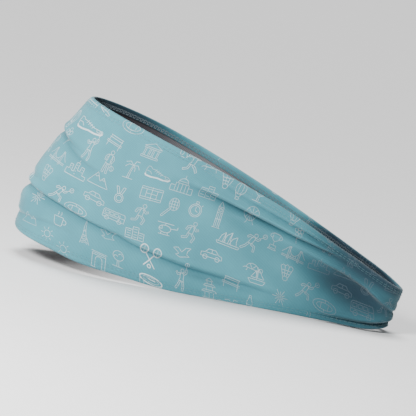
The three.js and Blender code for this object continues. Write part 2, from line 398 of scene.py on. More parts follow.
def hollow(table, way, rise, height):
    """Depth of a hollow and how far its upper edge rolls down over it, in metres."""
    low, high, depth, roll = table_at(table, way)
    span = np.maximum(high - low, 0.02)
    inside = np.clip((rise - low + 0.12 * span) / (1.2 * span), 0, 1)
    bowl = np.sin(np.pi * inside**1.45) ** 1.1
    offset = (rise - high) * height / MM
    lip = np.exp(-(((offset - 0.4) / 1.9) ** 2))
    return (depth * bowl - LIP_SHARE * depth * lip) * MM, roll * lip * MM


# %% [markdown]
# Between the creases the cloth is never flat. A few faint waves of random slope, from a fixed seed, give
# it the restless surface of jersey that nothing pulls tight. Each has a whole number of waves round the
# loop, so that it meets itself at the nape.

# %% Slack
rng = np.random.default_rng(7)
WAVE_SIZES = ((2, 0.30), (3, 0.26), (5, 0.20), (7, 0.16), (9, 0.13), (13, 0.09), (17, 0.07), (23, 0.05))
RIPPLES = [
    (waves, rng.uniform(-0.35, 0.35), rng.uniform(0.10, 0.28), rng.uniform(0, 2 * np.pi), amplitude)
    for waves, amplitude in WAVE_SIZES
    for _ in range(2)
]
HELD_BY_HEM = 14 * MM  # width of the strip along each rim that the hem keeps flatter


def slack(way, rise, height):
    """Faint lengthwise ripples all round, in metres."""
    up = (rise - 0.5) * height / MM
    total = np.zeros(np.broadcast(way, rise).shape)
    for waves, slope, tall, phase, amplitude in RIPPLES:
        total += amplitude * np.sin(np.pi * waves * way + slope * 0.2 * up + tall * up + phase)
    hold = np.clip(np.minimum(rise, 1 - rise) * height / HELD_BY_HEM, 0.15, 1)
    return 0.55 * total * hold * MM


RIM_SAG = 2.0 * MM  # how far the left upper rim hangs where the cloth is slackest
BROW_LIFT = 6.0 * MM  # how far the lower rim rides up beside the brow


def folds(way, rise):
    """Depth inwards and roll downwards of the folded cloth, in metres."""
    height = height_at(way)
    depth = slack(way, rise, height)
    for table in [*LEFT_CREASES.values(), *RIGHT_CREASES.values()]:
        depth = depth + crease(table, way, rise, height)
    roll = RIM_SAG * ease(rise, 0.80, 1.0) * ease(way, 0.60, 0.80) * (1 - ease(way, 0.88, 0.99))
    beside_brow = ease(np.abs(way), 0.03, 0.19) * (1 - ease(np.abs(way), 0.24, 0.48))
    roll = roll - BROW_LIFT * beside_brow * (1 - ease(rise, 0, 0.55))
    for table in (LEFT_HOLLOW, RIGHT_HOLLOW):
        sunk, rolled = hollow(table, way, rise, height)
        depth = depth + sunk
        roll = roll + rolled
    return depth, roll


# %% [markdown]
# ## One grid for all the cloth
#
# The outer wall is a grid of columns round the loop and rows up the wall. Each layer sits at its own
# inset from the folded outer face, measured along the plain loop's inward normal, so layers that lie
# on each other stay in order however deep a fold is.

# %% Folded surface
COLUMNS = 330


def inward_at(station, rise):
    """Level unit normal of the plain loop, pointing inwards."""
    ahead = plain_face(station + 0.02, rise)
    behind = plain_face(station - 0.02, rise)
    along = ahead - behind
    normal = np.stack([along[..., 1], -along[..., 0], np.zeros_like(along[..., 0])], axis=-1)
    return -normal / np.linalg.norm(normal, axis=-1, keepdims=True)


inward_check = inward_at(np.array([11.0, -11.0]), np.array([0.5, 0.5]))
print("inward normals at the sides", inward_check.round(2).tolist())

# %% [markdown]
# ## The shell
#
# The shell is one piece of jersey. Its section is a C: up the outside, over a soft rolled rim, and down
# the inside to the hem, where its cut edge is stitched. A grid of points in that order gives the
# rolled rims, the hems and the cloth's thickness in one closed mesh. Blender's Solidify could give the
# thickness, but not a hem that lies over the lining.

# %% Insets of the layers
ELASTIC_END = LENGTH / 2 - ELASTIC_REACH


def room_at(way):
    """Room between shell and lining, with a pocket for the elastic at the nape."""
    x = plain_face(station_at(way), np.full_like(way, 0.5))[..., 0]
    return GAP + ease(x, ELASTIC_END - POCKET_EASE, ELASTIC_END) * (ELASTIC + GAP)


def lining_outer(way):
    """Inset of the lining's outer face."""
    return SKIN + room_at(way)


def hem_outer(way):
    return lining_outer(way) + LINING + GAP


def hem_inner(way):
    return hem_outer(way) + SKIN


# %% The shell's section
OUTER_ROWS = 136
INNER_ROWS = 108
RIM_ROWS = 8
ROLL = 1.3 * MM  # height of the rolled rim


def shell_section(way):
    """Rows of (height above the lower rim, inset, softness), from one raw edge round to the other."""
    height, outer, inner = height_at(way), hem_outer(way), hem_inner(way)
    turn = np.linspace(0, np.pi, RIM_ROWS + 2)
    top = [(inner / 2 * (1 - np.cos(a)), ROLL * (1 - np.sin(a)), (1 - np.cos(a)) / 2) for a in turn]
    hem = [(inner, d, 1.0) for d in np.linspace(ROLL, HEM, 7)[1:]]
    edge = [(inner - 0.15 * MM, HEM + 0.25 * MM, 1.0), (outer + 0.15 * MM, HEM + 0.25 * MM, 1.0)]
    back = [(outer, d, 1.0) for d in (HEM - 0.2 * MM, 3.0 * MM)]
    fold = [(outer - 0.1 * MM, 1.2 * MM, 0.7), (SKIN + 0.1 * MM, 1.2 * MM, 0.2)]
    rows = [(d, inset, soft) for inset, d, soft in reversed(top + hem)]
    lower = len(rows)
    shares = np.linspace(0, 1, OUTER_ROWS + 2)[1:-1]
    rows += [(ROLL + (height - 2 * ROLL) * share, 0 * way, 0.0) for share in shares]
    rows += [(height - d, inset, soft) for inset, d, soft in top + hem]
    shown = len(rows)
    rows += [(height - d, inset, soft) for inset, d, soft in edge + back + fold]
    down = 1 - np.linspace(0, 1, INNER_ROWS)
    rows += [(2 * MM + (height - 4 * MM) * share, SKIN + 0 * way, 0.0) for share in down]
    rows += [(d, inset, soft) for inset, d, soft in reversed(edge + back + fold)]
    up, inset, soft = (np.array([np.broadcast_to(row[k], way.shape) for row in rows]) for k in range(3))
    return up / height, inset, soft, lower, shown


# %% Cloth builder
def add_mesh(name, points, faces):
    """A smooth mesh object at the origin."""
    mesh = bpy.data.meshes.new(name)
    mesh.from_pydata(points.reshape(-1, 3).tolist(), [], faces)
    mesh.update()
    mesh.shade_smooth()
    piece = bpy.data.objects.new(name, mesh)
    bpy.context.scene.collection.objects.link(piece)
    return piece


def add_cloth_map(piece, flat):
    """A UV map in metres of cloth, given for each corner of each face."""
    layer = piece.data.uv_layers.new(name="cloth")
    layer.data.foreach_set("uv", np.asarray(flat, np.float32).ravel())


def add_values(piece, name, values):
    """A number for each point, which a material can read by name."""
    piece.data.attributes.new(name, "FLOAT", "POINT").data.foreach_set("value", values)


def ring_faces(rows, columns):
    """Quads of a grid that joins up both ways, and the grid places of their corners."""
    row, column = np.meshgrid(np.arange(rows), np.arange(columns), indexing="ij")
    corners = [(row, column), (row, column + 1), (row + 1, column + 1), (row + 1, column)]
    faces = [(r % rows) * columns + c % columns for r, c in corners]
    return np.stack(faces, axis=-1).reshape(-1, 4), corners


def section_length(rise, inset, height):
    """Distance along each column's section, measured from mid height."""
    length = np.hypot(np.diff(rise, axis=0) * height, np.diff(inset, axis=0))
    length = np.concatenate([np.zeros((1, rise.shape[1])), np.cumsum(length, axis=0)])
    middle = np.argmin(np.abs(rise[:OUTER_ROWS] - 0.5), axis=0)
    columns = np.arange(rise.shape[1])
    return length - length[middle, columns] + (rise[middle, columns] - 0.5) * height


# %% [markdown]
# Painted shade: the cloth carries a number from 0 to 1, and its finish darkens by it. It grows with the
# depth of a fold, towards the nape, along the left upper rim, and on the inner faces behind the brow and
# the nape. It belongs to the cloth, so it looks the same from every side.

# %% Painted fold shade
FULL_SHADE_DEPTH = 8.0 * MM  # depth at which the painted fold shade is darkest
SIDE_PAINTED_SHADE = 0.18  # painted shade that grows from the sides towards the nape
NAPE_PAINTED_SHADE = 0.50  # painted shade added near the nape
RIM_PAINTED_SHADE = 0.24  # painted shade added along the left upper rim
RIGHT_SHADE_SHARE = 0.7  # the right side gets less painted shade than the left
INSIDE_BROW_SHADE = 0.94  # painted shade on the inner faces behind the brow


def painted_gather_shade(way, rise):
    """Painted shade towards the nape and along the left upper rim, from 0 to 1."""
    away = np.abs(way)
    side = np.where(way > 0, 1.0, RIGHT_SHADE_SHARE + (1 - RIGHT_SHADE_SHARE) * ease(away, 0.90, 1.0))
    nape_shade = SIDE_PAINTED_SHADE * ease(away, 0.25, 0.62) + NAPE_PAINTED_SHADE * ease(away, 0.62, 0.87) * side
    left_rim_shade = ease(rise, 0.70, 0.88) * ease(way, 0.60, 0.82) * (1 - ease(way, 0.94, 1.0))
    return nape_shade + RIM_PAINTED_SHADE * left_rim_shade


def painted_shade_share(way, rise, soft):
    """Painted shade from 0 to 1: by fold depth, towards the nape, and on the inner faces."""
    away = np.abs(way)
    # Painted shade by how deep the cloth is folded in.
    sunk = np.clip(folds(way, np.clip(rise, 0, 1))[0] / FULL_SHADE_DEPTH, -0.2, 1)
    share = 1 - (1 - sunk) * (1 - painted_gather_shade(way, rise))
    # Painted shade on the inner faces behind the brow and the nape.
    painted_inside_shade = np.maximum(ease(away, 0.62, 0.78), INSIDE_BROW_SHADE * (1 - ease(away, 0.14, 0.50)))
    return np.clip(np.maximum(share, soft * painted_inside_shade), 0, 1)


def closed_cloth(name, rise, inset, soft, way):
    """A closed sheet from a section that runs round the loop."""
    points = layered_points(way[None, :], rise, inset, soft)
    rows, columns = rise.shape
    faces, corners = ring_faces(rows, columns)
    up = section_length(rise, inset, height_at(way))
    step = 2 * HALF_LOOP / columns
    u = np.stack([way[0] * HALF_LOOP + c * step for _, c in corners], axis=-1)
    up = np.vstack([up, up[-1:] + 1 * MM])
    v = np.stack([up[r, c % columns] for r, c in corners], axis=-1)
    piece = add_mesh(name, points, faces.tolist())
    add_cloth_map(piece, np.stack([u, v], axis=-1))
    # The fold attribute carries the painted shade share to the finishes.
    add_values(piece, "fold", painted_shade_share(np.broadcast_to(way, rise.shape), rise, soft).ravel())
    return piece, points, up[:-1]


def layered_points(way, rise, inset, soft):
    """Points on the folded band. Where soft is 1 a layer bridges the folds instead of following."""
    way, rise, inset, soft = np.broadcast_arrays(way, rise, inset, soft)
    station = station_at(way)
    depth, roll = folds(way, rise)
    if np.any(soft > 0):
        spread = 2.5 * MM / height_at(way)
        near = [folds(way, np.clip(rise + k * spread, 0, 1))[0] for k in (-1, -0.5, 0.5, 1)]
        bridged = np.maximum(depth, np.mean([depth, *near], axis=0))
        depth = depth + soft * (bridged - depth)
    points = plain_face(station, rise) + inward_at(station, rise) * (depth + inset)[..., None]
    points[..., 2] -= roll * np.clip(1 - inset / (8 * MM), 0, 1)
    return points


# %% Shell
way_round = np.linspace(-1, 1, COLUMNS, endpoint=False) + 1.0 / COLUMNS
rise, inset, soft, lower_rows, shown_rows = shell_section(way_round)
shell, shell_points, shell_up = closed_cloth("printed_shell_cloth", rise, inset, soft, way_round)
print("shell", len(shell.data.polygons), "quads, of which rows shown", shown_rows)

# %% [markdown]
# ## The lining
#
# The grey lining is a second closed sheet, a little further in. It lies on the shell but is stiffer, so
# it bridges the narrowest creases. Its long edges stop under the turned-in hems.

# %% Lining
LINING_ROWS = 130


def lining_section(way):
    """Rows of height, inset and softness, from the lower edge up the back and down the face."""
    height, outer = height_at(way), lining_outer(way)
    inner = outer + LINING
    low = HEM - TUCK
    shares = np.linspace(0, 1, LINING_ROWS)
    face = [(low + (height - 2 * low) * share, inner, 1.0) for share in shares]
    edge = [(low - 0.2 * MM, outer + LINING / 2, 1.0)]
    back = [(low + (height - 2 * low) * share, outer, 1.0) for share in shares[::-1]]
    rows = edge + back[::-1] + [(height - low + 0.2 * MM, outer + LINING / 2, 1.0)] + face[::-1]
    up, inset, soft = (np.array([np.broadcast_to(row[k], way.shape) for row in rows]) for k in range(3))
    return up / height, inset, soft


lining, _, _ = closed_cloth("inner_lining_cloth", *lining_section(way_round), way_round)
print("lining", len(lining.data.polygons), "quads")

# %% [markdown]
# ## The print
#
# The jersey carries a repeat of small line drawings in pale ink. A picture of them would blur close up,
# so each line is a thin raised film of ink with a crowned section, laid on the cloth. The drawings are
# written as strokes on flat cloth in millimetres, about their own middles, and mapped on afterwards.

# %% Pens
THIN, BOLD = 0.48, 1.15  # widths of the lines, in millimetres


def line(*numbers, pen=THIN):
    """A stroke through points given as x, y, x, y and so on."""
    return np.array(numbers, float).reshape(-1, 2), pen


def ring(x, y, across, up=None, start=0, end=360, pen=THIN):
    """A circle, an ellipse, or an arc of one, between two angles in degrees."""
    up = across if up is None else up
    count = max(6, int(abs(end - start) * (across + up) / 130) + 4)
    turn = np.radians(np.linspace(start, end, count))
    return np.stack([x + across * np.cos(turn), y + up * np.sin(turn)], axis=-1), pen


def box(x0, y0, x1, y1, pen=THIN):
    return line(x0, y0, x1, y0, x1, y1, x0, y1, x0, y0, pen=pen)


def limb(*numbers, width=1.2):
    """The outline of an arm or a leg along a bent line."""
    points = np.array(numbers, float).reshape(-1, 2)
    along = np.gradient(points, axis=0)
    across = np.stack([-along[:, 1], along[:, 0]], axis=-1)
    across *= width / 2 / np.linalg.norm(across, axis=-1, keepdims=True)
    edge = np.concatenate([points + across, (points - across)[::-1]])
    return np.concatenate([edge, edge[:1]]), THIN


def figure(head, body, limbs, racket=None):
    """A player: a round head, a body outline, limbs, and perhaps a racket at (x, y, angle)."""
    strokes = [ring(*head, 1.25), line(*body, *body[:2])] + [limb(*path) for path in limbs]
    if racket:
        x, y, angle = racket
        dx = math.cos(math.radians(angle))
        dy = math.sin(math.radians(angle))
        strokes.append(line(x, y, x + 2.2 * dx, y + 2.2 * dy))
        strokes.append(ring(x + 3.6 * dx, y + 3.6 * dy, 1.5))
        strokes.append(line(x + 2.6 * dx, y + 2.6 * dy, x + 4.6 * dx, y + 4.6 * dy))
    return strokes


def rays(count, near, far, y=0):
    """Spokes from near to far, round a centre at height y."""
    turns = [(math.cos(a), math.sin(a)) for a in np.arange(count) * 2 * math.pi / count]
    return [line(near * c, y + near * s, far * c, y + far * s) for c, s in turns]


# %% Players
SERVER = figure(
    (0.6, 6.0),
    (-0.8, 4.4, 2.0, 4.2, 1.9, 0.6, 2.6, -1.0, -1.2, -0.8, -0.5, 1.0),
    [(1.8, 4.0, 3.6, 5.6, 3.4, 7.6), (-0.6, 4.0, -2.6, 3.0, -3.6, 4.4), (-0.4, -1.2, -1.2, -4.0, -2.6, -7.0),
     (1.7, -1.2, 2.6, -4.0, 2.4, -7.4)],
    (3.4, 7.8, 100),
)
RUNNER = figure(
    (1.6, 5.8),
    (-0.2, 4.2, 2.0, 3.9, 1.6, 0.4, 1.4, -1.0, -1.6, -0.6, -0.8, 1.4),
    [(1.6, 3.6, 3.2, 1.8, 4.8, 2.6), (-0.2, 3.8, -2.4, 3.0, -3.2, 1.0), (1.0, -1.0, 3.2, -3.0, 1.8, -6.2),
     (-1.0, -1.0, -2.0, -3.8, -5.0, -4.6)],
)
LUNGER = figure(
    (2.6, 4.6),
    (0.8, 3.6, 2.8, 2.8, 1.4, -0.2, 0.6, -1.6, -1.8, -0.6, -0.6, 1.6),
    [(2.4, 2.6, 4.4, 2.2, 5.8, 3.4), (0.6, 3.2, -1.6, 3.6, -3.0, 2.4), (0.4, -1.6, 3.0, -2.6, 3.2, -6.0),
     (-1.4, -1.0, -3.2, -3.6, -6.0, -5.8)],
    (5.8, 3.6, 40),
)
STANDER = figure(
    (0, 6.2),
    (-1.5, 4.6, 1.5, 4.6, 1.1, 1.2, 1.8, -1.2, -1.8, -1.2, -1.1, 1.2),
    [(1.5, 4.2, 2.8, 2.2, 2.2, 0.2), (-1.5, 4.2, -2.8, 2.4, -2.4, 0.4), (-0.9, -1.4, -1.1, -4.4, -1.2, -7.4),
     (0.9, -1.4, 1.2, -4.4, 1.6, -7.4)],
    (2.2, 0.0, -60),
)
JUMPER = figure(
    (0.4, 5.8),
    (-1.2, 4.2, 1.6, 4.4, 1.4, 0.8, 1.0, -0.8, -1.6, -0.6, -1.0, 1.2),
    [(1.6, 4.0, 3.8, 4.4, 4.8, 6.2), (-1.2, 3.8, -3.2, 4.8, -4.4, 3.6), (0.8, -1.0, 3.0, -2.2, 4.8, -4.4),
     (-1.2, -0.8, -1.6, -3.6, -4.2, -5.0)],
    (4.8, 6.4, 70),
)

# %% Kit
SNEAKER = [
    line(-9.2, -2.0, -8.6, -3.2, -5, -3.6, 0, -3.3, 4, -3.8, 8, -3.6, 9.4, -2.6, pen=1.5),
    line(
        -9.2, -2.0, -9.2, 1.0, -8.4, 3.4, -6.8, 3.2, -5.4, 2.0, -3.2, 1.8, 0, 0.6, 3, -0.6, 7, -1.0,
        9.4, -2.4,
    ),
    line(-3.4, 0.4, -2.0, 2.4), line(-1.8, -0.2, -0.4, 1.8), line(-0.2, -0.8, 1.2, 1.1),
    line(1.4, -1.4, 2.8, 0.2), line(-8.8, 0.2, -6.2, 0.0, -4.6, -1.8),
    line(5.0, -0.8, 5.6, -2.4, 8.6, -2.6),
]
SHUTTLE = [
    ring(0, -4.2, 1.7, 1.5), line(-1.7, -3.4, -4.4, 3.4), line(1.7, -3.4, 4.4, 3.4),
    line(-0.6, -2.8, -1.5, 4.2), line(0.6, -2.8, 1.5, 4.2),
    line(-4.4, 3.4, -3.0, 4.6, -1.5, 4.0, 0, 5.0, 1.5, 4.0, 3.0, 4.6, 4.4, 3.4),
    line(-2.6, -0.8, 2.6, -0.8), line(-3.4, 1.2, 3.4, 1.2),
]
RACKET = [
    ring(2.6, 2.8, 3.4, 4.2), line(-0.2, -0.4, -4.8, -6.2), line(0.8, -1.0, -3.8, -6.8),
    line(-4.8, -6.2, -3.8, -6.8), line(0.2, 4.6, 5.2, 4.6), line(-0.6, 2.6, 5.8, 2.6),
    line(0.2, 0.8, 5.2, 0.8), line(1.0, -0.6, 1.0, 6.2), line(2.8, -1.2, 2.8, 6.8),
    line(4.6, -0.2, 4.6, 6.0),
]
BALL = [
    ring(0, 0, 3.2), ring(-3.6, 0, 2.6, 3.0, -48, 48), ring(3.6, 0, 2.6, 3.0, 132, 228),
    line(4.6, 2.6, 6.8, 4.0), line(4.9, 0.4, 7.4, 0.6),
]
TROPHY = [
    line(-2.6, 5.6, 2.6, 5.6, 2.2, 1.8, 0.8, 0.2, -0.8, 0.2, -2.2, 1.8, -2.6, 5.6),
    ring(-3.0, 3.8, 1.3, 1.4, 60, 300), ring(3.0, 3.8, 1.3, 1.4, -120, 120), line(0, 0.2, 0, -2.6),
    box(-2.2, -4.6, 2.2, -2.6), line(-3.0, -5.6, 3.0, -5.6), line(-3.0, -5.6, -2.2, -4.6),
    line(3.0, -5.6, 2.2, -4.6),
]
MEDAL = [
    ring(0, -2.2, 3.0), ring(0, -2.2, 1.9), line(-1.4, 0.4, -3.4, 5.4), line(-0.2, 0.8, -1.6, 5.4),
    line(1.4, 0.4, 3.4, 5.4), line(0.2, 0.8, 1.6, 5.4), line(-3.4, 5.4, -1.6, 5.4),
    line(3.4, 5.4, 1.6, 5.4),
]
STOPWATCH = [
    ring(0, -0.6, 4.2), ring(0, -0.6, 3.2), line(0, -0.6, 0, 1.8), line(0, -0.6, 1.8, -1.4),
    box(-0.9, 3.8, 0.9, 5.2), line(3.2, 2.8, 4.2, 3.9),
]
BOTTLE = [
    line(
        -1.8, -5.8, 1.8, -5.8, 2.0, 1.4, 1.0, 3.0, 1.0, 4.4, -1.0, 4.4, -1.0, 3.0, -2.0, 1.4, -1.8,
        -5.8,
    ),
    box(-0.7, 4.4, 0.7, 5.8), line(-1.9, -0.6, 1.9, -0.6), line(-1.9, -2.8, 1.9, -2.8),
]
CUP = [
    line(-3.6, 2.8, 3.0, 2.8, 2.4, -2.6, 1.4, -3.6, -2.0, -3.6, -3.0, -2.6, -3.6, 2.8),
    ring(3.4, 0, 1.9, 1.7, -100, 110), line(-1.6, 3.8, -1.0, 5.0, -1.6, 6.2),
    line(0.6, 3.8, 1.2, 5.0, 0.6, 6.2),
]
COURT = [
    box(-7.4, -4.2, 7.4, 4.2), line(0, -4.8, 0, 4.8), line(-7.4, 2.8, 7.4, 2.8),
    line(-7.4, -2.8, 7.4, -2.8), line(-3.8, -2.8, -3.8, 2.8), line(3.8, -2.8, 3.8, 2.8),
    line(-3.8, 0, 3.8, 0),
]
CAP = [
    ring(-0.8, -0.6, 4.2, 3.6, 0, 180), line(-5.0, -0.6, 3.4, -0.6),
    line(3.4, -0.6, 7.2, -1.6, 6.2, -2.6, 0.6, -1.9, -5.0, -0.6), ring(-0.8, -0.6, 1.6, 3.6, 0, 180),
]
MARK = [
    ring(-4.8, 4.4, 2.9, 3.5, pen=BOLD), ring(4.8, 4.4, 2.9, 3.5, pen=BOLD),
    line(-3.2, 1.6, 4.2, -7.4, pen=BOLD), line(3.2, 1.6, -4.2, -7.4, pen=BOLD),
    line(-4.8, 1.2, -4.8, 7.6), line(-7.5, 4.4, -2.1, 4.4), line(4.8, 1.2, 4.8, 7.6),
    line(2.1, 4.4, 7.5, 4.4), ring(0, -6.8, 1.2, pen=BOLD),
]

# %% Places
PALM = [
    line(-0.4, -6.4, 0.2, -1.6, 1.2, 2.2), line(0.8, -6.4, 1.2, -1.6, 1.9, 2.2),
    line(1.6, 2.4, -1.2, 4.6, -4.0, 3.4), line(1.6, 2.4, -1.6, 2.6, -3.8, 0.4),
    line(1.6, 2.4, 2.4, 5.4, 5.2, 5.4), line(1.6, 2.4, 4.6, 3.0, 6.0, 0.6),
    line(1.6, 2.4, 3.2, 0.8, 3.4, -1.4), line(-3.2, -6.4, 3.8, -6.4),
]
TREE = [
    line(-0.7, -5.6, -0.5, -1.4), line(0.7, -5.6, 0.5, -1.4), ring(0, 1.8, 3.6, 3.4),
    ring(-1.6, 0.8, 1.2, 1.0, 0, 200), ring(1.4, 2.4, 1.2, 1.0, -20, 180), line(-3.6, -5.6, 3.6, -5.6),
]
SUN = [ring(0, 0, 2.5)] + rays(8, 3.5, 5.3)
BURST_PAIRS = zip(rays(12, 1.4, 5.6)[::2], rays(12, 1.4, 3.8)[1::2])
BURST = [ray for pair in BURST_PAIRS for ray in pair] + [ring(0, 0, 0.8)]
SKYLINE = [
    line(
        -8, -4, -8, -0.6, -5.8, -0.6, -5.8, 2.6, -3.6, 2.6, -3.6, -1.2, -1.8, -1.2, -1.8, 4.8, 0.6,
        4.8, 0.6, 0.4, 2.8, 0.4, 2.8, 3.4, 5.2, 3.4, 5.2, -1.4, 8, -1.4, 8, -4, -8, -4,
    ),
    line(-0.6, 4.8, -0.6, 6.6), line(-5.0, 1.4, -4.4, 1.4), line(-5.0, -0.4, -4.4, -0.4),
    line(-1.0, 3.2, -0.2, 3.2), line(-1.0, 1.4, -0.2, 1.4), line(-1.0, -0.6, -0.2, -0.6),
    line(3.6, 2.0, 4.4, 2.0), line(3.6, 0.2, 4.4, 0.2), line(-1.0, -2.4, -0.2, -2.4),
]
BLOCKS = [
    box(-6.4, -4.2, -1.6, 2.4), box(-1.6, -4.2, 2.4, 4.6), box(2.4, -4.2, 6.4, 1.2),
    line(-5.4, 1.0, -2.6, 1.0), line(-5.4, -0.8, -2.6, -0.8), line(-5.4, -2.6, -2.6, -2.6),
    line(-0.8, 3.0, 1.6, 3.0), line(-0.8, 1.0, 1.6, 1.0), line(-0.8, -1.0, 1.6, -1.0),
    line(-0.8, -2.8, 1.6, -2.8), line(3.2, -0.4, 5.6, -0.4), line(3.2, -2.2, 5.6, -2.2),
]
LATTICE = [
    line(-3.6, -8.4, -1.1, -0.6, -0.3, 8.8, 0.3, 8.8, 1.1, -0.6, 3.6, -8.4),
    line(-2.2, -4.2, 2.2, -4.2), line(-1.4, -1.2, 1.4, -1.2), line(-3.2, -7.4, 2.2, -4.2),
    line(3.2, -7.4, -2.2, -4.2), line(-2.0, -3.8, 1.2, -1.2), line(2.0, -3.8, -1.2, -1.2),
    line(-0.9, 1.2, 0.8, 3.4), line(0.9, 1.2, -0.8, 3.4), ring(0, -8.6, 2.0, 1.7, 20, 160),
    line(0, 8.8, 0, 10.4),
]
CLOCK_TOWER = [
    box(-1.9, -9.4, 1.9, 5.0), line(-1.9, 5.0, 0, 8.6, 1.9, 5.0), ring(0, 3.0, 1.2),
    line(0, 3.0, 0, 3.8), line(-1.9, 1.0, 1.9, 1.0), line(-0.7, -8.8, -0.7, 0.4),
    line(0.7, -8.8, 0.7, 0.4), line(-3.0, -9.4, 3.0, -9.4), line(-1.9, -3.4, 1.9, -3.4),
]
BRIDGE = [
    line(-8.6, -2.6, 8.6, -2.6), line(-8.6, -3.5, 8.6, -3.5), line(-4.4, -4.8, -4.4, 4.4),
    line(-3.4, -4.8, -3.4, 4.4), line(4.4, -4.8, 4.4, 4.4), line(3.4, -4.8, 3.4, 4.4),
    ring(0, 4.6, 3.8, 6.0, 180, 360), line(-8.6, -1.0, -6.6, 1.0, -4.4, 4.2),
    line(8.6, -1.0, 6.6, 1.0, 4.4, 4.2), line(-1.8, -2.6, -1.8, -0.8), line(0, -2.6, 0, -1.4),
    line(1.8, -2.6, 1.8, -0.8),
]
STADIUM = [
    ring(0, 3.2, 8.2, 2.7, pen=1.2), ring(0, 3.3, 5.8, 1.6), line(-8.0, 2.2, -7.2, -5.0),
    line(8.0, 2.2, 7.2, -5.0), ring(0, -4.6, 7.4, 2.4, 184, 356), ring(0, -1.4, 7.8, 2.5, 184, 356),
    line(-4.8, 0.8, -4.4, -6.4), line(-1.7, 0.3, -1.6, -7.0), line(1.7, 0.3, 1.6, -7.0),
    line(4.8, 0.8, 4.4, -6.4), line(-3.2, 3.6, 3.2, 3.6, pen=1.0),
]
TEMPLE = [
    line(-6.4, 2.2, 0, 5.2, 6.4, 2.2, -6.4, 2.2), box(-6.0, -5.0, 6.0, -3.9),
    line(-6.0, 1.2, 6.0, 1.2),
]
TEMPLE += [line(x, 1.2, x, -3.9) for x in (-5.0, -4.0, -1.7, -0.7, 0.7, 1.7, 4.0, 5.0)]
DOME = [
    ring(0, 0.8, 3.4, 3.6, 0, 180), box(-4.4, -4.6, 4.4, 0.8), line(0, 4.4, 0, 6.4),
    box(-7.4, -4.6, -4.4, -1.0), box(4.4, -4.6, 7.4, -1.0), line(-2.4, -4.6, -2.4, 0.8),
    line(0, -4.6, 0, 0.8), line(2.4, -4.6, 2.4, 0.8), line(-3.2, 2.2, 3.2, 2.2),
]
SHELLS = [
    line(-6.8, -3.4, -5.6, 0.8, -3.2, 3.4, -3.0, -0.4, -2.2, -3.4),
    line(-3.4, -3.4, -2.0, 1.8, 1.0, 4.6, 1.0, 0, 1.8, -3.4),
    line(0.8, -3.4, 2.4, 0.8, 5.2, 2.8, 5.2, -0.6, 6.0, -3.4),
    line(-8.2, -3.4, 8.2, -3.4, 7.4, -4.8, -7.4, -4.8, -8.2, -3.4), line(-3.2, 3.4, -4.2, -3.4),
    line(1.0, 4.6, -0.4, -3.4),
]
MOUNTAIN = [
    line(-7.6, -3.6, -2.2, 4.4, 1.0, -0.4, 3.2, 2.4, 7.6, -3.6, -7.6, -3.6),
    line(-3.6, 2.2, -2.4, 1.4, -1.4, 2.4, -0.6, 1.8), line(2.2, 1.0, 3.2, 0.4, 4.2, 1.0),
]
PAGODA = [
    line(-5.4, -1.6, -3.8, -0.4, 3.8, -0.4, 5.4, -1.6, -5.4, -1.6),
    line(-4.2, 2.0, -2.8, 3.2, 2.8, 3.2, 4.2, 2.0, -4.2, 2.0),
    line(-2.6, 5.0, 0, 7.0, 2.6, 5.0, -2.6, 5.0), line(-3.0, -5.4, -3.0, -1.6),
    line(3.0, -5.4, 3.0, -1.6), line(-2.2, -0.4, -2.2, 2.0), line(2.2, -0.4, 2.2, 2.0),
    line(-1.6, 3.2, -1.6, 5.0), line(1.6, 3.2, 1.6, 5.0), line(-4.6, -5.4, 4.6, -5.4),
    line(0, -5.4, 0, -1.6),
]
ARCH = [
    line(-4.6, -5.2, -4.6, 4.6, 4.6, 4.6, 4.6, -5.2), line(-2.4, -5.2, -2.4, 0),
    ring(0, 0, 2.4, 2.6, 0, 180), line(2.4, 0, 2.4, -5.2), line(-5.4, 5.6, 5.4, 5.6),
    line(-4.6, 3.4, 4.6, 3.4), line(-5.2, -5.2, -1.8, -5.2), line(1.8, -5.2, 5.2, -5.2),
]
WHEEL = [ring(0, 1.2, 4.8), ring(0, 1.2, 0.9), line(-3.0, -5.8, 0, 0.4, 3.0, -5.8)] + rays(8, 0.9, 4.8, 1.2)
BUS = [
    line(-8, -2.8, -8, 2.6, -7, 3.6, 7.2, 3.6, 8, 2.2, 8, -2.8, -8, -2.8), ring(-4.6, -2.9, 1.5),
    ring(4.6, -2.9, 1.5), box(-6.8, 0.4, -4.0, 2.4), box(-3.2, 0.4, -0.4, 2.4),
    box(0.4, 0.4, 3.2, 2.4), line(4.2, 2.4, 4.2, -2.8), line(4.2, 0.4, 7.8, 0.4),
    line(-8, -0.8, 4.2, -0.8),
]
CAR = [
    line(
        -7.4, -1.8, -7.2, 0.6, -4.6, 1.0, -2.6, 3.4, 2.4, 3.4, 4.6, 1.0, 7.0, 0.4, 7.4, -1.8, -7.4,
        -1.8,
    ),
    ring(-4.2, -2.0, 1.5), ring(4.2, -2.0, 1.5), line(-3.8, 1.0, 3.8, 1.0), line(0, 3.4, 0, 1.0),
]
BOAT = [
    line(-6.4, -2.2, 6.4, -2.2, 4.6, -4.8, -4.6, -4.8, -6.4, -2.2), line(0, -2.2, 0, 6.2),
    line(0.6, 5.6, 5.2, -1.0, 0.6, -1.0, 0.6, 5.6), line(-0.6, 4.2, -4.4, -1.0, -0.6, -1.0, -0.6, 4.2),
]
BALLOON = [
    ring(0, 2.2, 3.9, 4.3), ring(0, 2.2, 1.6, 4.3), line(-2.4, -1.2, -1.1, -4.0),
    line(2.4, -1.2, 1.1, -4.0), box(-1.2, -5.8, 1.2, -4.0),
]
BIRD = [
    line(
        -6.4, 2.2, -3.4, 3.0, -0.8, 0.6, 1.6, 3.6, 5.0, 4.2, 3.0, 1.8, 2.6, -0.2, 4.6, -1.4, 2.0, -1.8,
        -1.6, -2.8, -4.6, -1.6, -2.4, -0.6, -6.4, 2.2,
    ),
]
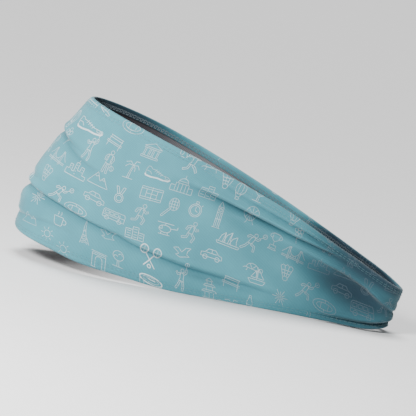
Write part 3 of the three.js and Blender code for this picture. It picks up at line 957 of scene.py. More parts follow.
TURTLE = [
    ring(0, 0.6, 4.4, 3.4, 0, 180), line(-5.4, 0.4, 5.4, 0.4), ring(6.2, 1.4, 1.3),
    line(-3.2, 0.4, -4.0, -1.8), line(3.0, 0.4, 3.8, -1.8), line(-2.4, 3.4, 0, 0.6, 2.4, 3.4),
    line(-5.4, 0.4, -6.6, -0.4),
]
PETALS = [(2.3 * math.cos(a), 2.2 + 2.3 * math.sin(a)) for a in np.arange(5) * 1.2566 + 0.3]
FLOWER = [ring(0, 2.2, 1.1)] + [ring(x, y, 1.2) for x, y in PETALS]
FLOWER += [line(0, -0.8, 0.4, -5.6), line(0.2, -2.8, 2.6, -1.6, 0.2, -3.4)]
BENCH = [
    line(-5.2, 2.8, 5.2, 2.8), line(-5.2, 1.4, 5.2, 1.4), line(-6.0, -0.8, 6.0, -0.8),
    line(-6.0, -1.8, 6.0, -1.8), line(-4.6, 2.8, -4.6, -4.4), line(4.6, 2.8, 4.6, -4.4),
]
COPTER = [
    ring(-0.4, -0.4, 4.0, 2.4), line(3.4, 0.4, 8.0, 1.0, 8.0, 2.6), line(-6.0, 3.4, 5.2, 3.4),
    line(-0.4, 2.0, -0.4, 3.4), line(-4.4, -4.2, 3.6, -4.2), line(-2.4, -2.6, -2.8, -4.2),
    line(1.6, -2.6, 2.0, -4.2), line(-2.6, 1.4, -2.2, -0.6, -4.4, -0.6),
]
OVAL = [
    ring(0, 0, 8.2, 4.0), ring(0, 0, 5.6, 2.2), line(-2.6, 2.2, -2.6, -2.2), line(2.6, 2.2, 2.6, -2.2),
    line(0, 4.0, 0, 2.2), line(0, -2.2, 0, -4.0),
]
BASKET = [
    line(-5.0, 1.6, 5.0, 1.6, 3.6, -4.4, -3.6, -4.4, -5.0, 1.6), ring(0, 1.6, 4.0, 4.2, 0, 180),
    line(-4.6, -0.4, 4.6, -0.4), line(-4.1, -2.4, 4.1, -2.4), line(-1.6, 1.6, -1.2, -4.4),
    line(1.6, 1.6, 1.2, -4.4),
]
print("a figure has", len(SERVER), "strokes and a bus", len(BUS))

# %% [markdown]
# The drawings sit about 17 mm apart in a repeat 165.5 mm long. Each place is on flat cloth, measured
# from the middle of the brow and from mid height. Cloth that is drawn round the head leans the
# drawings a little towards the nape, on both sides alike.

# %% Layout of one repeat
REPEAT = 165.5
# drawing, way along, height, and for some how far it is turned, in radians, and how much it is widened
LAYOUT = [
    (CAP, 27, 46), (SNEAKER, 27, 34, 0.22, 1.3), (OVAL, 52, 46), (SERVER, 37, 23), (BENCH, 49, 34),
    (FLOWER, 16, 21), (BRIDGE, 20, 9), (SKYLINE, 38, 8), (SHUTTLE, 20, -3), (MOUNTAIN, 54, 10),
    (STANDER, 53, 22), (PALM, 67, 24), (LUNGER, 35, -9), (CAR, 57, -1), (MEDAL, 70, 7),
    (BURST, 22, -19), (OVAL, 50, -14), (BUS, 73, -7), (BASKET, -12, -39), (CUP, 43, -27),
    (LATTICE, 61, -27), (BIRD, 75, -22), (SUN, 38, -39), (ARCH, 74, -41), (TREE, 85, -34),
    (MARK, 103, -24), (STADIUM, 108, -41), (TEMPLE, 72, 38), (SNEAKER, 84, 27), (JUMPER, 98, 39),
    (TURTLE, 110, 40), (COURT, 87, 14), (DOME, 101, 25), (BLOCKS, 118, 26), (SHUTTLE, 123, 37),
    (RUNNER, 87, 0), (RACKET, 101, 10), (STOPWATCH, 116, 14), (CLOCK_TOWER, 131, 16),
    (COPTER, 105, -3), (RUNNER, 120, 0), (BLOCKS, 89, -13), (SHELLS, 144, 4), (CAR, 138, -9),
    (SERVER, 125, -30), (PAGODA, 144, -30), (TURTLE, 165, -9), (LUNGER, 157, 7), (WHEEL, 149, 22),
    (TROPHY, 5, 12), (BALLOON, 8, 30), (BOAT, 4, -12), (BOTTLE, 5, -30), (BALL, 90, 44),
    (BIRD, 121, -14), (BENCH, 156, -21), (PALM, 159, -36), (TREE, 146, 36), (COURT, 12, 47),
    (SKYLINE, 70, 51), (MOUNTAIN, 22, -34), (BUS, 88, -48), (BALLOON, 134, 33), (SUN, 51, -44),
    (TEMPLE, 126, -45), (BOAT, 148, -46), (STANDER, 0, -46),
]
print(len(LAYOUT), "drawings in a repeat")


# %% From flat cloth to the folded band
def cloth_normals(points):
    """Outward unit normals of a grid that closes both ways."""
    along = np.roll(points, -1, axis=1) - np.roll(points, 1, axis=1)
    up = np.roll(points, -1, axis=0) - np.roll(points, 1, axis=0)
    normal = np.cross(along, up)
    return normal / np.maximum(np.linalg.norm(normal, axis=-1, keepdims=True), 1e-12)


shell_normals = cloth_normals(shell_points)
shell_painted_shade = painted_shade_share(np.broadcast_to(way_round, rise.shape), rise, soft)[..., None]
middle_row = lower_rows + OUTER_ROWS // 2
outward = shell_normals[middle_row, 0] @ -inward_at(station_at(way_round[:1]), np.array([0.5]))[0]
print("a normal points outwards where this is near 1:", round(float(outward), 2))


def on_cloth(u, v, lift):
    """Points on the shell, and the painted fold shade there, at flat places raised by lift."""
    column = (u / HALF_LOOP + 1) / 2 * COLUMNS - 0.5
    left = np.floor(column).astype(int)
    share = (column - left)[:, None]
    total = 0
    for k, weight in ((left % COLUMNS, 1 - share), ((left + 1) % COLUMNS, share)):
        ups = shell_up[:shown_rows, k]
        row = (ups < v).sum(axis=0) - 1
        if row.min() < 0 or row.max() > shown_rows - 2:
            return None
        below = ups[row, np.arange(len(k))]
        part = ((v - below) / (ups[row + 1, np.arange(len(k))] - below))[:, None]
        place = shell_points[row, k] * (1 - part) + shell_points[row + 1, k] * part
        normal = shell_normals[row, k] * (1 - part) + shell_normals[row + 1, k] * part
        # Painted shade carried on from the shell to the print.
        fold = shell_painted_shade[row, k] * (1 - part) + shell_painted_shade[row + 1, k] * part
        total = total + weight * np.concatenate([place + normal * lift, fold], axis=-1)
    return total


# %% Strokes as films of ink
STEP = 0.85  # length of one segment of a line, in millimetres
CROWN = 0.10 * MM  # height of the film's middle
SUNK = -0.04 * MM  # its edges lie below the cloth's face, so no gap shows


def resampled(points):
    """A line with corners kept and its longer pieces divided."""
    pieces = [points[:1]]
    for a, b in zip(points[:-1], points[1:]):
        count = max(1, int(np.ceil(np.linalg.norm(b - a) / STEP)))
        pieces.append(a + (b - a) * (np.arange(1, count + 1) / count)[:, None])
    return np.concatenate(pieces)


def ink_film(points, pen, to_cloth):
    """Vertices and faces of one crowned line of ink, or None if it runs off the cloth."""
    points = resampled(points)
    closed = np.allclose(points[0], points[-1])
    along = np.gradient(points, axis=0)
    if closed:
        along[0] = along[-1] = points[1] - points[-2]
    along /= np.maximum(np.linalg.norm(along, axis=-1, keepdims=True), 1e-9)
    across = np.stack([-along[:, 1], along[:, 0]], axis=-1) * pen / 2
    rails = [to_cloth(points + side * across, lift) for side, lift in ((1, SUNK), (0, CROWN), (-1, SUNK))]
    if any(rail is None for rail in rails):
        return None
    rails = np.stack(rails, axis=1)
    if closed:
        rails = rails[:-1]
    count = len(rails)
    ends = np.arange(count if closed else count - 1)
    following = (ends + 1) % count
    faces = []
    for a, b in ((0, 1), (1, 2), (2, 0)):
        quads = [3 * ends + a, 3 * ends + b, 3 * following + b, 3 * following + a]
        faces += np.stack(quads, axis=-1).tolist()
    if not closed:
        faces += [[2, 1, 0], [3 * count - 3, 3 * count - 2, 3 * count - 1]]
    return rails.reshape(-1, 4), faces


# %% Print the cloth
LEAN = -0.17  # sideways for each millimetre of height
LEAN_FULL = 60  # millimetres from the brow's middle where the lean is whole
TILT = 0.08  # in radians, to either side
SMALLEST = 0.87  # each drawing's size, as a share of the one in the layout
LARGEST = 0.98
FAINTEST = 0.55  # how strong its ink is
BOLDEST = 0.9
rng = np.random.default_rng(11)


def flat_to_cloth(centre_u, centre_v, tilt, scale, widened):
    """A function that lays a drawing's points, in millimetres, on the folded cloth."""
    lean = LEAN * float(ease(abs(centre_u), 0, LEAN_FULL)) * np.sign(centre_u)
    turn = np.array([[np.cos(tilt), -np.sin(tilt)], [np.sin(tilt), np.cos(tilt)]])

    def to_cloth(points, lift):
        x, y = (points @ turn.T * scale).T
        return on_cloth((centre_u + widened * x + lean * y) * MM, (centre_v + y) * MM, lift)

    return to_cloth


def on_band(u, v):
    """Whether a drawing's middle is on the cloth or just off its edge, in millimetres."""
    edge = height_at(np.array([u * MM / HALF_LOOP]))[0] / MM / 2 + 16
    return abs(u) <= HALF_LOOP / MM - 4 and abs(v) <= edge


def print_cloth():
    """All the films as one piece. Each drawing differs a little in tilt, size and strength."""
    vertices, faces, ink = [], [], []
    base = 0
    for repeat in (-2, -1, 0, 1):
        for drawing, u, v, *fit in LAYOUT:
            turned, widened = fit or (0, 1)
            centre = u + repeat * REPEAT
            tilt = rng.uniform(-TILT, TILT) + turned
            scale = rng.uniform(SMALLEST, LARGEST)
            strength = rng.uniform(FAINTEST, BOLDEST)
            if not on_band(centre, v):
                continue
            to_cloth = flat_to_cloth(centre, v, tilt, scale, widened)
            for points, pen in drawing:
                film = ink_film(points, pen, to_cloth)
                if film is None:
                    continue
                vertices.append(film[0])
                faces += [[corner + base for corner in face] for face in film[1]]
                ink += [1.0 if pen > THIN else strength] * len(film[0])
                base += len(film[0])
    vertices = np.concatenate(vertices)
    piece = add_mesh("print_ink", vertices[:, :3], faces)
    add_values(piece, "ink", ink)
    # The ink's fold attribute is the painted shade of the cloth under it.
    add_values(piece, "fold", vertices[:, 3])
    return piece


ink_print = print_cloth()
print("ink", sum(len(p.vertices) - 2 for p in ink_print.data.polygons), "triangles")

# %% [markdown]
# ## Stitches
#
# Each hem is held by a cover stitch: two rows of straight stitches outside, and the looper's thread
# crossing between them inside. One stitch is modelled as a short plump strand that dips at its
# ends, and a copy of it is laid along the cloth for each one sewn.

# %% One stitch
STITCH_SIDES = 6
STITCH_LENGTHS = 4  # cells along a stitch
ACROSS = (0, math.pi / 2, 0)  # a turn that lays a cylinder along X


def strand():
    """Corner points and faces of one strand: rings along X with pinched ends."""
    bpy.ops.object.select_all(action="DESELECT")
    bpy.ops.mesh.primitive_cylinder_add(vertices=STITCH_SIDES, radius=0.5, depth=1.0, rotation=ACROSS)
    stitch = bpy.context.object
    bpy.ops.object.transform_apply(location=True, rotation=True, scale=True)
    bpy.ops.object.mode_set(mode="EDIT")
    for cut in np.linspace(-0.5, 0.5, STITCH_LENGTHS + 1)[1:-1]:
        bpy.ops.mesh.select_all(action="SELECT")
        bpy.ops.mesh.bisect(plane_co=(float(cut), 0, 0), plane_no=(1, 0, 0))
    bpy.ops.mesh.select_mode(type="VERT")
    bpy.ops.mesh.select_all(action="DESELECT")
    bpy.ops.object.mode_set(mode="OBJECT")
    for vertex in stitch.data.vertices:
        vertex.select = abs(vertex.co.x) > 0.49
    bpy.ops.object.mode_set(mode="EDIT")
    bpy.ops.transform.resize(value=(1, 0.5, 0.5))
    bpy.ops.object.mode_set(mode="OBJECT")
    points = np.array([vertex.co for vertex in stitch.data.vertices])
    faces = [list(face.vertices) for face in stitch.data.polygons]
    bpy.data.objects.remove(stitch)
    return points, faces


STRAND_POINTS, STRAND_FACES = strand()
print("a stitch has", len(STRAND_FACES), "faces")

# %% [markdown]
# A stitch is laid between two places on the cloth. Its middle stands proud and its ends go down to the
# needle holes, so the row reads as sewn and not as beads.


# %% Sewn rows
def sewn(name, starts, ends, place, thickness, proud):
    """Copies of the strand from each start to each end, as one piece. Place maps flat to cloth."""
    share = STRAND_POINTS[:, 0] + 0.5
    arch = np.sin(np.pi * np.clip(share, 0, 1))
    along = ends - starts
    across = np.stack([-along[:, 1], along[:, 0]], axis=-1)
    across /= np.linalg.norm(across, axis=-1, keepdims=True)
    flat = starts[:, None] + along[:, None] * share[None, :, None]
    flat = flat + across[:, None] * (STRAND_POINTS[:, 1] * thickness)[None, :, None]
    lift = (proud * arch + STRAND_POINTS[:, 2] * thickness)[None].repeat(len(starts), axis=0)
    points = place(flat[..., 0].ravel(), flat[..., 1].ravel(), lift.ravel())
    corners = len(STRAND_POINTS)
    faces = [[v + k * corners for v in face] for k in range(len(starts)) for face in STRAND_FACES]
    piece = add_mesh(name, points, faces)
    around = np.arctan2(STRAND_POINTS[:, 2], STRAND_POINTS[:, 1]) / (2 * np.pi)
    flat = np.stack([share * np.linalg.norm(along, axis=-1).mean(), around], axis=-1)
    add_cloth_map(piece, np.tile(flat, (len(starts), 1))[[v for face in faces for v in face]])
    face_out(piece)
    return piece


def face_out(piece):
    """Turns all faces outwards."""
    bpy.ops.object.select_all(action="DESELECT")
    piece.select_set(True)
    bpy.context.view_layer.objects.active = piece
    bpy.ops.object.mode_set(mode="EDIT")
    bpy.ops.mesh.select_all(action="SELECT")
    bpy.ops.mesh.normals_make_consistent(inside=False)
    bpy.ops.object.mode_set(mode="OBJECT")
    piece.data.shade_smooth()
    piece.select_set(False)


# %% Both faces of the band
def rise_from_rim(way, up, upper):
    """The rise at a height from the upper or the lower rim."""
    height = height_at(way)
    return (height - up if upper else up) / height


def outside_at(upper):
    """Maps metres of cloth, height from the rim and lift to a place on the outer face."""

    def place(u, up, lift):
        way = u / HALF_LOOP
        rise = rise_from_rim(way, up, upper)
        point = layered_points(way, rise, 0 * way, 0 * way)
        return point - inward_at(station_at(way), rise) * lift[:, None]

    return place


def inside_at(upper):
    """The same for the inner face of a hem."""

    def place(u, up, lift):
        way = u / HALF_LOOP
        return layered_points(way, rise_from_rim(way, up, upper), hem_inner(way) + lift, 1 + 0 * way)

    return place


# %% Hem stitches
THREAD = 0.42 * MM
NEEDLE_PROUD = 0.13 * MM  # how far the middle of a stitch stands up
LOOPER_PROUD = 0.16 * MM
ROW_APART = 1.6 * MM  # between the two needles
STITCHES = 190  # in a row, all round
PITCH = 2 * HALF_LOOP / STITCHES
needle_u = -HALF_LOOP + PITCH * np.arange(STITCHES)


def needle_rows(upper):
    """Two rows of straight stitches, with a needle hole between one and the next."""
    name = ("upper" if upper else "lower") + "_hem_needle_stitches"
    starts, ends = [], []
    for row in (-1, 1):
        up = HEM_ROW + row * ROW_APART / 2
        starts.append(np.stack([needle_u + 0.12 * PITCH, up + 0 * needle_u], axis=-1))
        ends.append(np.stack([needle_u + 0.88 * PITCH, up + 0 * needle_u], axis=-1))
    rows = np.concatenate(starts), np.concatenate(ends)
    return sewn(name, *rows, outside_at(upper), THREAD, NEEDLE_PROUD)


def looper_rows(upper):
    """Chains along both rows of needle holes, with threads that cross between them."""
    name = ("upper" if upper else "lower") + "_hem_looper_stitches"
    low, high = HEM_ROW - ROW_APART / 2, HEM_ROW + ROW_APART / 2
    u = needle_u
    parts = [
        (u, low, u + 0.8 * PITCH, low), (u, high, u + 0.8 * PITCH, high),
        (u + 0.05 * PITCH, low, u + 0.45 * PITCH, high), (u + 0.55 * PITCH, high, u + 0.95 * PITCH, low),
    ]
    starts = np.concatenate([np.stack([a, b + 0 * u], axis=-1) for a, b, _, _ in parts])
    ends = np.concatenate([np.stack([c, d + 0 * u], axis=-1) for _, _, c, d in parts])
    return sewn(name, starts, ends, inside_at(upper), THREAD, LOOPER_PROUD)


needles = {upper: needle_rows(upper) for upper in (False, True)}
loopers = {upper: looper_rows(upper) for upper in (False, True)}
print("hem stitches", sum(len(p.data.polygons) for p in [*needles.values(), *loopers.values()]), "faces")

# %% [markdown]
# ## The nape
#
# A flat elastic lies in a pocket between shell and lining and pulls the nape in. A tack through the
# lining holds each of its ends. The seam that closes the loop is bound with an overlock thread.

# %% Elastic
NAPE_MIDDLE = (NAPE_RISE + NAPE_HEIGHT) / 2
ELASTIC_COLUMNS = 90
ELASTIC_ROWS = 12


def rise_at_z(way, z):
    """The rise at a height above the floor."""
    share, _ = plan(station_at(way))
    return (z - lower_rim(share)) / height_at(way)


def way_at_x(x):
    """The way at a place along the band's length."""
    ways = np.linspace(0, 1, 2001)
    return float(np.interp(x, plain_face(station_at(ways), np.full_like(ways, 0.5))[:, 0], ways))


def elastic_ribbon():
    """A flat closed ribbon that runs round the nape, level with its middle."""
    reach = 1 - way_at_x(ELASTIC_END)
    way = 1 + np.linspace(-reach, reach, ELASTIC_COLUMNS)
    way = np.where(way > 1, way - ROUND, way)
    across = np.linspace(-1, 1, ELASTIC_ROWS) * ELASTIC_HEIGHT / 2
    outer = SKIN + GAP
    inner = outer + ELASTIC
    section = [(a, inner) for a in across] + [(a, outer) for a in across[::-1]]
    z = np.array([NAPE_MIDDLE + a for a, _ in section])[:, None]
    inset = np.array([i for _, i in section])[:, None] + 0 * way[None]
    points = layered_points(way[None], rise_at_z(way[None], z), inset, 0 * inset)
    sides = len(section)
    k, j = np.meshgrid(np.arange(sides), np.arange(ELASTIC_COLUMNS - 1), indexing="ij")

    def corner(side, column):
        return (side % sides) * ELASTIC_COLUMNS + column

    faces = np.stack([corner(k, j), corner(k, j + 1), corner(k + 1, j + 1), corner(k + 1, j)], axis=-1)
    faces = faces.reshape(-1, 4).tolist()
    faces.append([corner(a, 0) for a in range(sides)][::-1])
    faces.append([corner(a, ELASTIC_COLUMNS - 1) for a in range(sides)])
    piece = add_mesh("nape_elastic_ribbon", points, faces)
    length = np.linspace(-reach, reach, ELASTIC_COLUMNS) * HALF_LOOP
    flat = np.stack([np.tile(length, sides), np.repeat(z[:, 0], ELASTIC_COLUMNS)], axis=-1)
    add_cloth_map(piece, flat[[v for face in faces for v in face]])
    face_out(piece)
    return piece


elastic = elastic_ribbon()
print("elastic", len(elastic.data.polygons), "faces")


# %% Tacks
TACK_IN = 3.5 * MM  # from the elastic's end to the middle of a tack
TACK_HALF_WIDTH = 1.4 * MM
TACK_STEP = 0.95 * MM
TACK_TURNS = 9
TACK_LIFT = 0.15 * MM  # from the lining's face to the middle of the thread
TACK_THREAD = 0.45 * MM


def tack(side):
    """A zigzag through the lining across one end of the elastic."""
    middle = way_at_x(ELASTIC_END + TACK_IN) * HALF_LOOP * -side
    turns = np.arange(TACK_TURNS)
    u = middle + np.where(turns % 2, TACK_HALF_WIDTH, -TACK_HALF_WIDTH)
    z = NAPE_MIDDLE + (turns - TACK_TURNS // 2) * TACK_STEP
    path = np.stack([u, z], axis=-1)

    def place(u, z, lift):
        way = u / HALF_LOOP
        inset = lining_outer(way) + LINING + TACK_LIFT + lift
        return layered_points(way, rise_at_z(way, z), inset, 1 + 0 * way)

    name = "elastic_tack_" + ("left" if side < 0 else "right") + "_stitches"
    return sewn(name, path[:-1], path[1:], place, TACK_THREAD, 0.1 * MM)


tacks = {side: tack(side) for side in (-1, 1)}
print("a tack has", len(tacks[1].data.polygons), "faces")

# %% Overlock
SEAM_LOW, SEAM_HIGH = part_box("nape_seam_thread")
OVERLOCK_HALF_WIDTH = 1.7 * MM
OVERLOCK_PROUD = 0.12 * MM
SEAM_MARGIN = 0.4 * MM  # from the seam's ends to the first and last rung
SEAM_INSET = 0.3 * MM


def overlock():
    """Rungs across the seam, joined by the chains along its two edges."""
    low_x, _, low_z = SEAM_LOW
    high_x, _, high_z = SEAM_HIGH
    rungs = np.linspace(low_z + SEAM_MARGIN, high_z - SEAM_MARGIN, 11)
    wide = OVERLOCK_HALF_WIDTH
    parts = []
    for low, high in zip(rungs[:-1], rungs[1:]):
        parts.append((-wide, low, wide, (low + high) / 2))
        parts.append((wide, (low + high) / 2, -wide, high))
        parts.append((-wide, low, -wide, high))
        parts.append((wide, low, wide, high))
    parts = np.array(parts)

    def place(across, z, lift):
        share = (z - low_z) / (high_z - low_z)
        x = low_x + SEAM_INSET + (high_x - low_x - 2 * SEAM_INSET) * share - lift
        return np.stack([x, across, z], axis=-1)

    return sewn("nape_overlock_stitches", parts[:, :2], parts[:, 2:], place, THREAD, OVERLOCK_PROUD)


seam = overlock()
print("nape", len(seam.data.polygons), "faces in the overlock")

# %% [markdown]
# ## The care label
#
# A blank satin ribbon, folded once and sewn into the seam by its ends. It is a plane with cuts across
# it, bent by moving its rows, given thickness by Solidify and softened by Subdivision Surface.

# %% Label
label_low, label_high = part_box("care_label")
SATIN = 0.12 * MM  # thickness of the ribbon
FOLD_ALLOWANCE = 1.6 * MM  # length that the turn at the fold takes up


def bent_place(along, up, length, height):
    """Where a point of the flat ribbon goes. Its two leaves hang together and wave a little."""
    run = 2 * length - FOLD_ALLOWANCE
    side = 1 if along * run < run / 2 else -1
    reach = min(along * run, run - along * run)
    share = reach / (run / 2)
    apart = (0.21 * MM + 0.05 * MM * math.sin(share * 5)) * min(1.0, (1 - share) * 9)
    wave = 0.12 * MM * math.sin(up * 0.98 * 4 + share * 3) * share
    middle_z = (label_high[2] + label_low[2]) / 2
    return label_high[0] - reach, side * apart + wave, middle_z + up * height * 0.98


def add_label():
    length = label_high[0] - label_low[0]
    height = label_high[2] - label_low[2]
    bpy.ops.object.select_all(action="DESELECT")
    upright = (math.pi / 2, 0, 0)
    bpy.ops.mesh.primitive_grid_add(x_subdivisions=40, y_subdivisions=10, size=1.0, rotation=upright)
    label = bpy.context.object
    label.name = "care_label_ribbon"
    bpy.ops.object.transform_apply(location=True, rotation=True, scale=True)
    for vertex in label.data.vertices:
        vertex.co = bent_place(vertex.co.x + 0.5, vertex.co.z, length, height)
    thickness = label.modifiers.new("thickness", "SOLIDIFY")
    thickness.thickness = SATIN
    thickness.offset = 0
    smooth = label.modifiers.new("smooth", "SUBSURF")
    smooth.levels = 1
    smooth.render_levels = 1
    for modifier in ("thickness", "smooth"):
        bpy.ops.object.modifier_apply(modifier=modifier)
    label.data.shade_smooth()
    label.select_set(False)
    return label


label = add_label()
print("label", len(label.data.polygons), "faces")

# %% [markdown]
# ## Shader maths
#
# Materials are written as expressions. A Socket wraps one output of a node, and adding or multiplying
# two of them adds a Math node. Everything else comes from the one method named node.


# %% Sockets and finishes
class Socket:
    """An output of a node, in a finish. Arithmetic on it adds Math nodes."""

    def __init__(self, finish, output):
        self.finish = finish
        self.output = output

    def math(self, operation, *values):
        return self.finish.node("ShaderNodeMath", {"operation": operation}, dict(enumerate(values)))

    def __add__(self, other):
        return self.math("ADD", self, other)

    def __sub__(self, other):
        return self.math("SUBTRACT", self, other)

    def __rsub__(self, other):
        return self.math("SUBTRACT", other, self)

    def __mul__(self, other):
        return self.math("MULTIPLY", self, other)

    def __truediv__(self, other):
        return self.math("DIVIDE", self, other)

    def __pow__(self, other):
        return self.math("POWER", self, other)

    __radd__ = __add__
    __rmul__ = __mul__

    def sine(self):
        return self.math("SINE", self)

    def size(self):
        return self.math("ABSOLUTE", self)

    def clear(self, low, high):
        """0 below low and 1 above high, with a smooth step between."""
        values = {"Value": self, "From Min": low, "From Max": high}
        return self.finish.node("ShaderNodeMapRange", {"interpolation_type": "SMOOTHSTEP"}, values)


class Finish:
    """A material, and the nodes that make it."""

    def __init__(self, name, **uniform):
        self.material = bpy.data.materials.new(name)
        self.material.use_nodes = True
        self.tree = self.material.node_tree
        self.shader = self.tree.nodes["Principled BSDF"]
        for socket, value in uniform.items():
            self.shader.inputs[socket.replace("_", " ")].default_value = value

    def node(self, kind, settings=None, values=None, output=0):
        made = self.tree.nodes.new(kind)
        for name, value in (settings or {}).items():
            setattr(made, name, value)
        for name, value in (values or {}).items():
            self.feed(made.inputs[name], value)
        return Socket(self, made.outputs[output])

    def feed(self, socket, value):
        if isinstance(value, Socket):
            self.tree.links.new(value.output, socket)
        else:
            socket.default_value = value

    def mix(self, share, first, second):
        """A colour between two colours."""
        return self.node("ShaderNodeMix", {"data_type": "RGBA"}, {0: share, 6: first, 7: second}, output=2)

    def noise(self, where, scale, detail=2.0, roughness=0.5):
        values = {"Vector": where, "Scale": scale, "Detail": detail, "Roughness": roughness}
        return self.node("ShaderNodeTexNoise", {}, values)

    def object_place(self):
        return self.node("ShaderNodeTexCoord", output="Object")

    def cloth_place(self):
        """The flat cloth's two coordinates, in metres."""
        flat = self.node("ShaderNodeUVMap", {"uv_map": "cloth"})
        split = {"Vector": flat}
        u = self.node("ShaderNodeSeparateXYZ", {}, split, output="X")
        v = self.node("ShaderNodeSeparateXYZ", {}, split, output="Y")
        return flat, u, v

    def raise_by(self, height, depth):
        """Bump of the given depth in metres where height goes from 0 to 1."""
        bump = self.node("ShaderNodeBump", {}, {"Height": height, "Distance": depth, "Strength": 1.0})
        self.feed(self.shader.inputs["Normal"], bump)

    def set(self, **values):
        for name, value in values.items():
            self.feed(self.shader.inputs[name.replace("_", " ")], value)

    def put_on(self, *pieces):
        for piece in pieces:
            piece.data.materials.clear()
            piece.data.materials.append(self.material)


# %% [markdown]
# ## Finishes
#
# Jersey is rows of V-shaped loops. On flat cloth each wale is a narrow column, and its two legs slope
# opposite ways, so the height is a wave that climbs with the distance from the column's middle.


# %% Knitted cloth
def knit(u, v, wale, course):
    """Height of a knitted face, from 0 to 1."""
    column = (u * (math.pi / wale)).sine().size()
    slope = (u * (math.pi / wale) + math.pi / 2).sine().size()
    legs = (v * (2 * math.pi / course) + slope * 2.6).sine() * 0.5 + 0.5
    return column**0.6 * (legs * 0.55 + 0.45)


def jersey(name, dark, light, wale, course, depth, **uniform):
    """Heathered knit that is cloudy over a few centimetres, with shade painted darker by the fold attribute.
    """
    finish = Finish(name, **uniform)
    flat, u, v = finish.cloth_place()
    loops = knit(u, v, wale, course)
    place = finish.object_place()
    cloudy = finish.noise(place, 38.0, 3.0)
    heather = finish.noise(flat, 5200.0, 1.0)
    shade = (loops * 0.45 + heather * 0.35 + cloudy * 0.45).clear(0.32, 0.92)
    # Painted shade: the base colour goes towards a near-black tint of the dark colour as the fold attribute
    # rises.
    folded = finish.node("ShaderNodeAttribute", {"attribute_name": "fold"}, output="Fac")
    fold_shade_colour = (dark[0] * 0.17, dark[1] * 0.13, dark[2] * 0.17, 1)
    finish.set(Base_Color=finish.mix(folded.clear(-0.05, 1.05), finish.mix(shade, dark, light), fold_shade_colour))
    finish.set(Roughness=0.92 - loops * 0.14)
    finish.raise_by(loops + heather * 0.35, depth)
    return finish


shell_finish = jersey(
    "printed_jersey",
    dark=(0.052, 0.205, 0.252, 1),
    light=(0.100, 0.362, 0.430, 1),
    wale=0.85 * MM,
    course=0.70 * MM,
    depth=0.10 * MM,
    Sheen_Weight=0.25,
    Sheen_Roughness=0.4,
    Specular_IOR_Level=0.3,
)
shell_finish.put_on(shell)
lining_finish = jersey(
    "wicking_knit",
    dark=(0.10, 0.10, 0.11, 1),
    light=(0.235, 0.235, 0.25, 1),
    wale=1.1 * MM,
    course=1.0 * MM,
    depth=0.16 * MM,
    Sheen_Weight=0.3,
    Sheen_Roughness=0.5,
    Specular_IOR_Level=0.25,
)
lining_finish.put_on(lining)
print("cloth finishes", len(shell_finish.tree.nodes), "and", len(lining_finish.tree.nodes), "nodes")

# %% [markdown]
# The ink is a water-based white that sinks into the loops, so it is a pale blue grey. It is thinner on
# some drawings than on others, and it breaks up a little where the loops stand proud.

# %% Ink
ink_finish = Finish("print_ink", Sheen_Weight=0.15, Specular_IOR_Level=0.3)
ink_place = ink_finish.object_place()
strength = ink_finish.node("ShaderNodeAttribute", {"attribute_name": "ink"}, output="Fac")
worn = ink_finish.noise(ink_place, 2600.0, 2.0).clear(0.30, 0.62)
cover = strength * (0.62 + worn * 0.38)
# Painted shade: the ink goes to a dark blue grey where the cloth under it has painted fold shade.
sunk = ink_finish.node("ShaderNodeAttribute", {"attribute_name": "fold"}, output="Fac").clear(-0.05, 0.82)
inked = ink_finish.mix(cover, (0.11, 0.30, 0.35, 1), (0.72, 0.80, 0.83, 1))
ink_finish.set(Base_Color=ink_finish.mix(sunk, inked, (0.055, 0.085, 0.11, 1)), Roughness=0.86 - worn * 0.1)
ink_finish.raise_by(worn, 0.03 * MM)
ink_finish.put_on(ink_print)
print("ink finish", len(ink_finish.tree.nodes), "nodes")

# %% [markdown]
# Sewing thread is two or three plies twisted together, which shows as fine slanting ridges. The outer
# thread is dyed to match the jersey and the inner one is grey. Elastic tape is woven, with cords of
# rubber that stand up as ribs along it, and satin is smooth, because its yarns float over the weave.


# %% Threads
TWIST = 0.42 * MM  # length of one twist of the yarn


def thread_finish(name, dark, light):
    """Twisted yarn: fine ridges that wind round the strand, with painted shade near the nape."""
    finish = Finish(name, Sheen_Weight=0.2, Specular_IOR_Level=0.4)
    _, along, around = finish.cloth_place()
    twist = (along * (2 * math.pi / TWIST) + around * (2 * math.pi)).sine() * 0.5 + 0.5
    place = finish.object_place()
    fuzz = finish.noise(place, 3000.0)
    # Painted shade: thread towards the nape darkens towards a third of its dark colour.
    nape_shade_mask = finish.node("ShaderNodeSeparateXYZ", {}, {"Vector": place}, output="X").clear(0.03, 0.10)
    yarn = finish.mix(twist * 0.6 + fuzz * 0.4, dark, light)
    shaded = (dark[0] * 0.3, dark[1] * 0.3, dark[2] * 0.3, 1)
    finish.set(Base_Color=finish.mix(nape_shade_mask * 0.8, yarn, shaded), Roughness=0.72 - twist * 0.12)
    finish.raise_by(twist, 0.05 * MM)
    return finish


outer_thread = thread_finish("hem_thread_teal", (0.060, 0.20, 0.24, 1), (0.115, 0.33, 0.39, 1))
outer_thread.put_on(*needles.values())
inner_thread = thread_finish("hem_thread_grey", (0.075, 0.10, 0.12, 1), (0.16, 0.20, 0.23, 1))
inner_thread.put_on(*loopers.values(), *tacks.values(), seam)
print("thread finishes", len(outer_thread.tree.nodes), "nodes each")

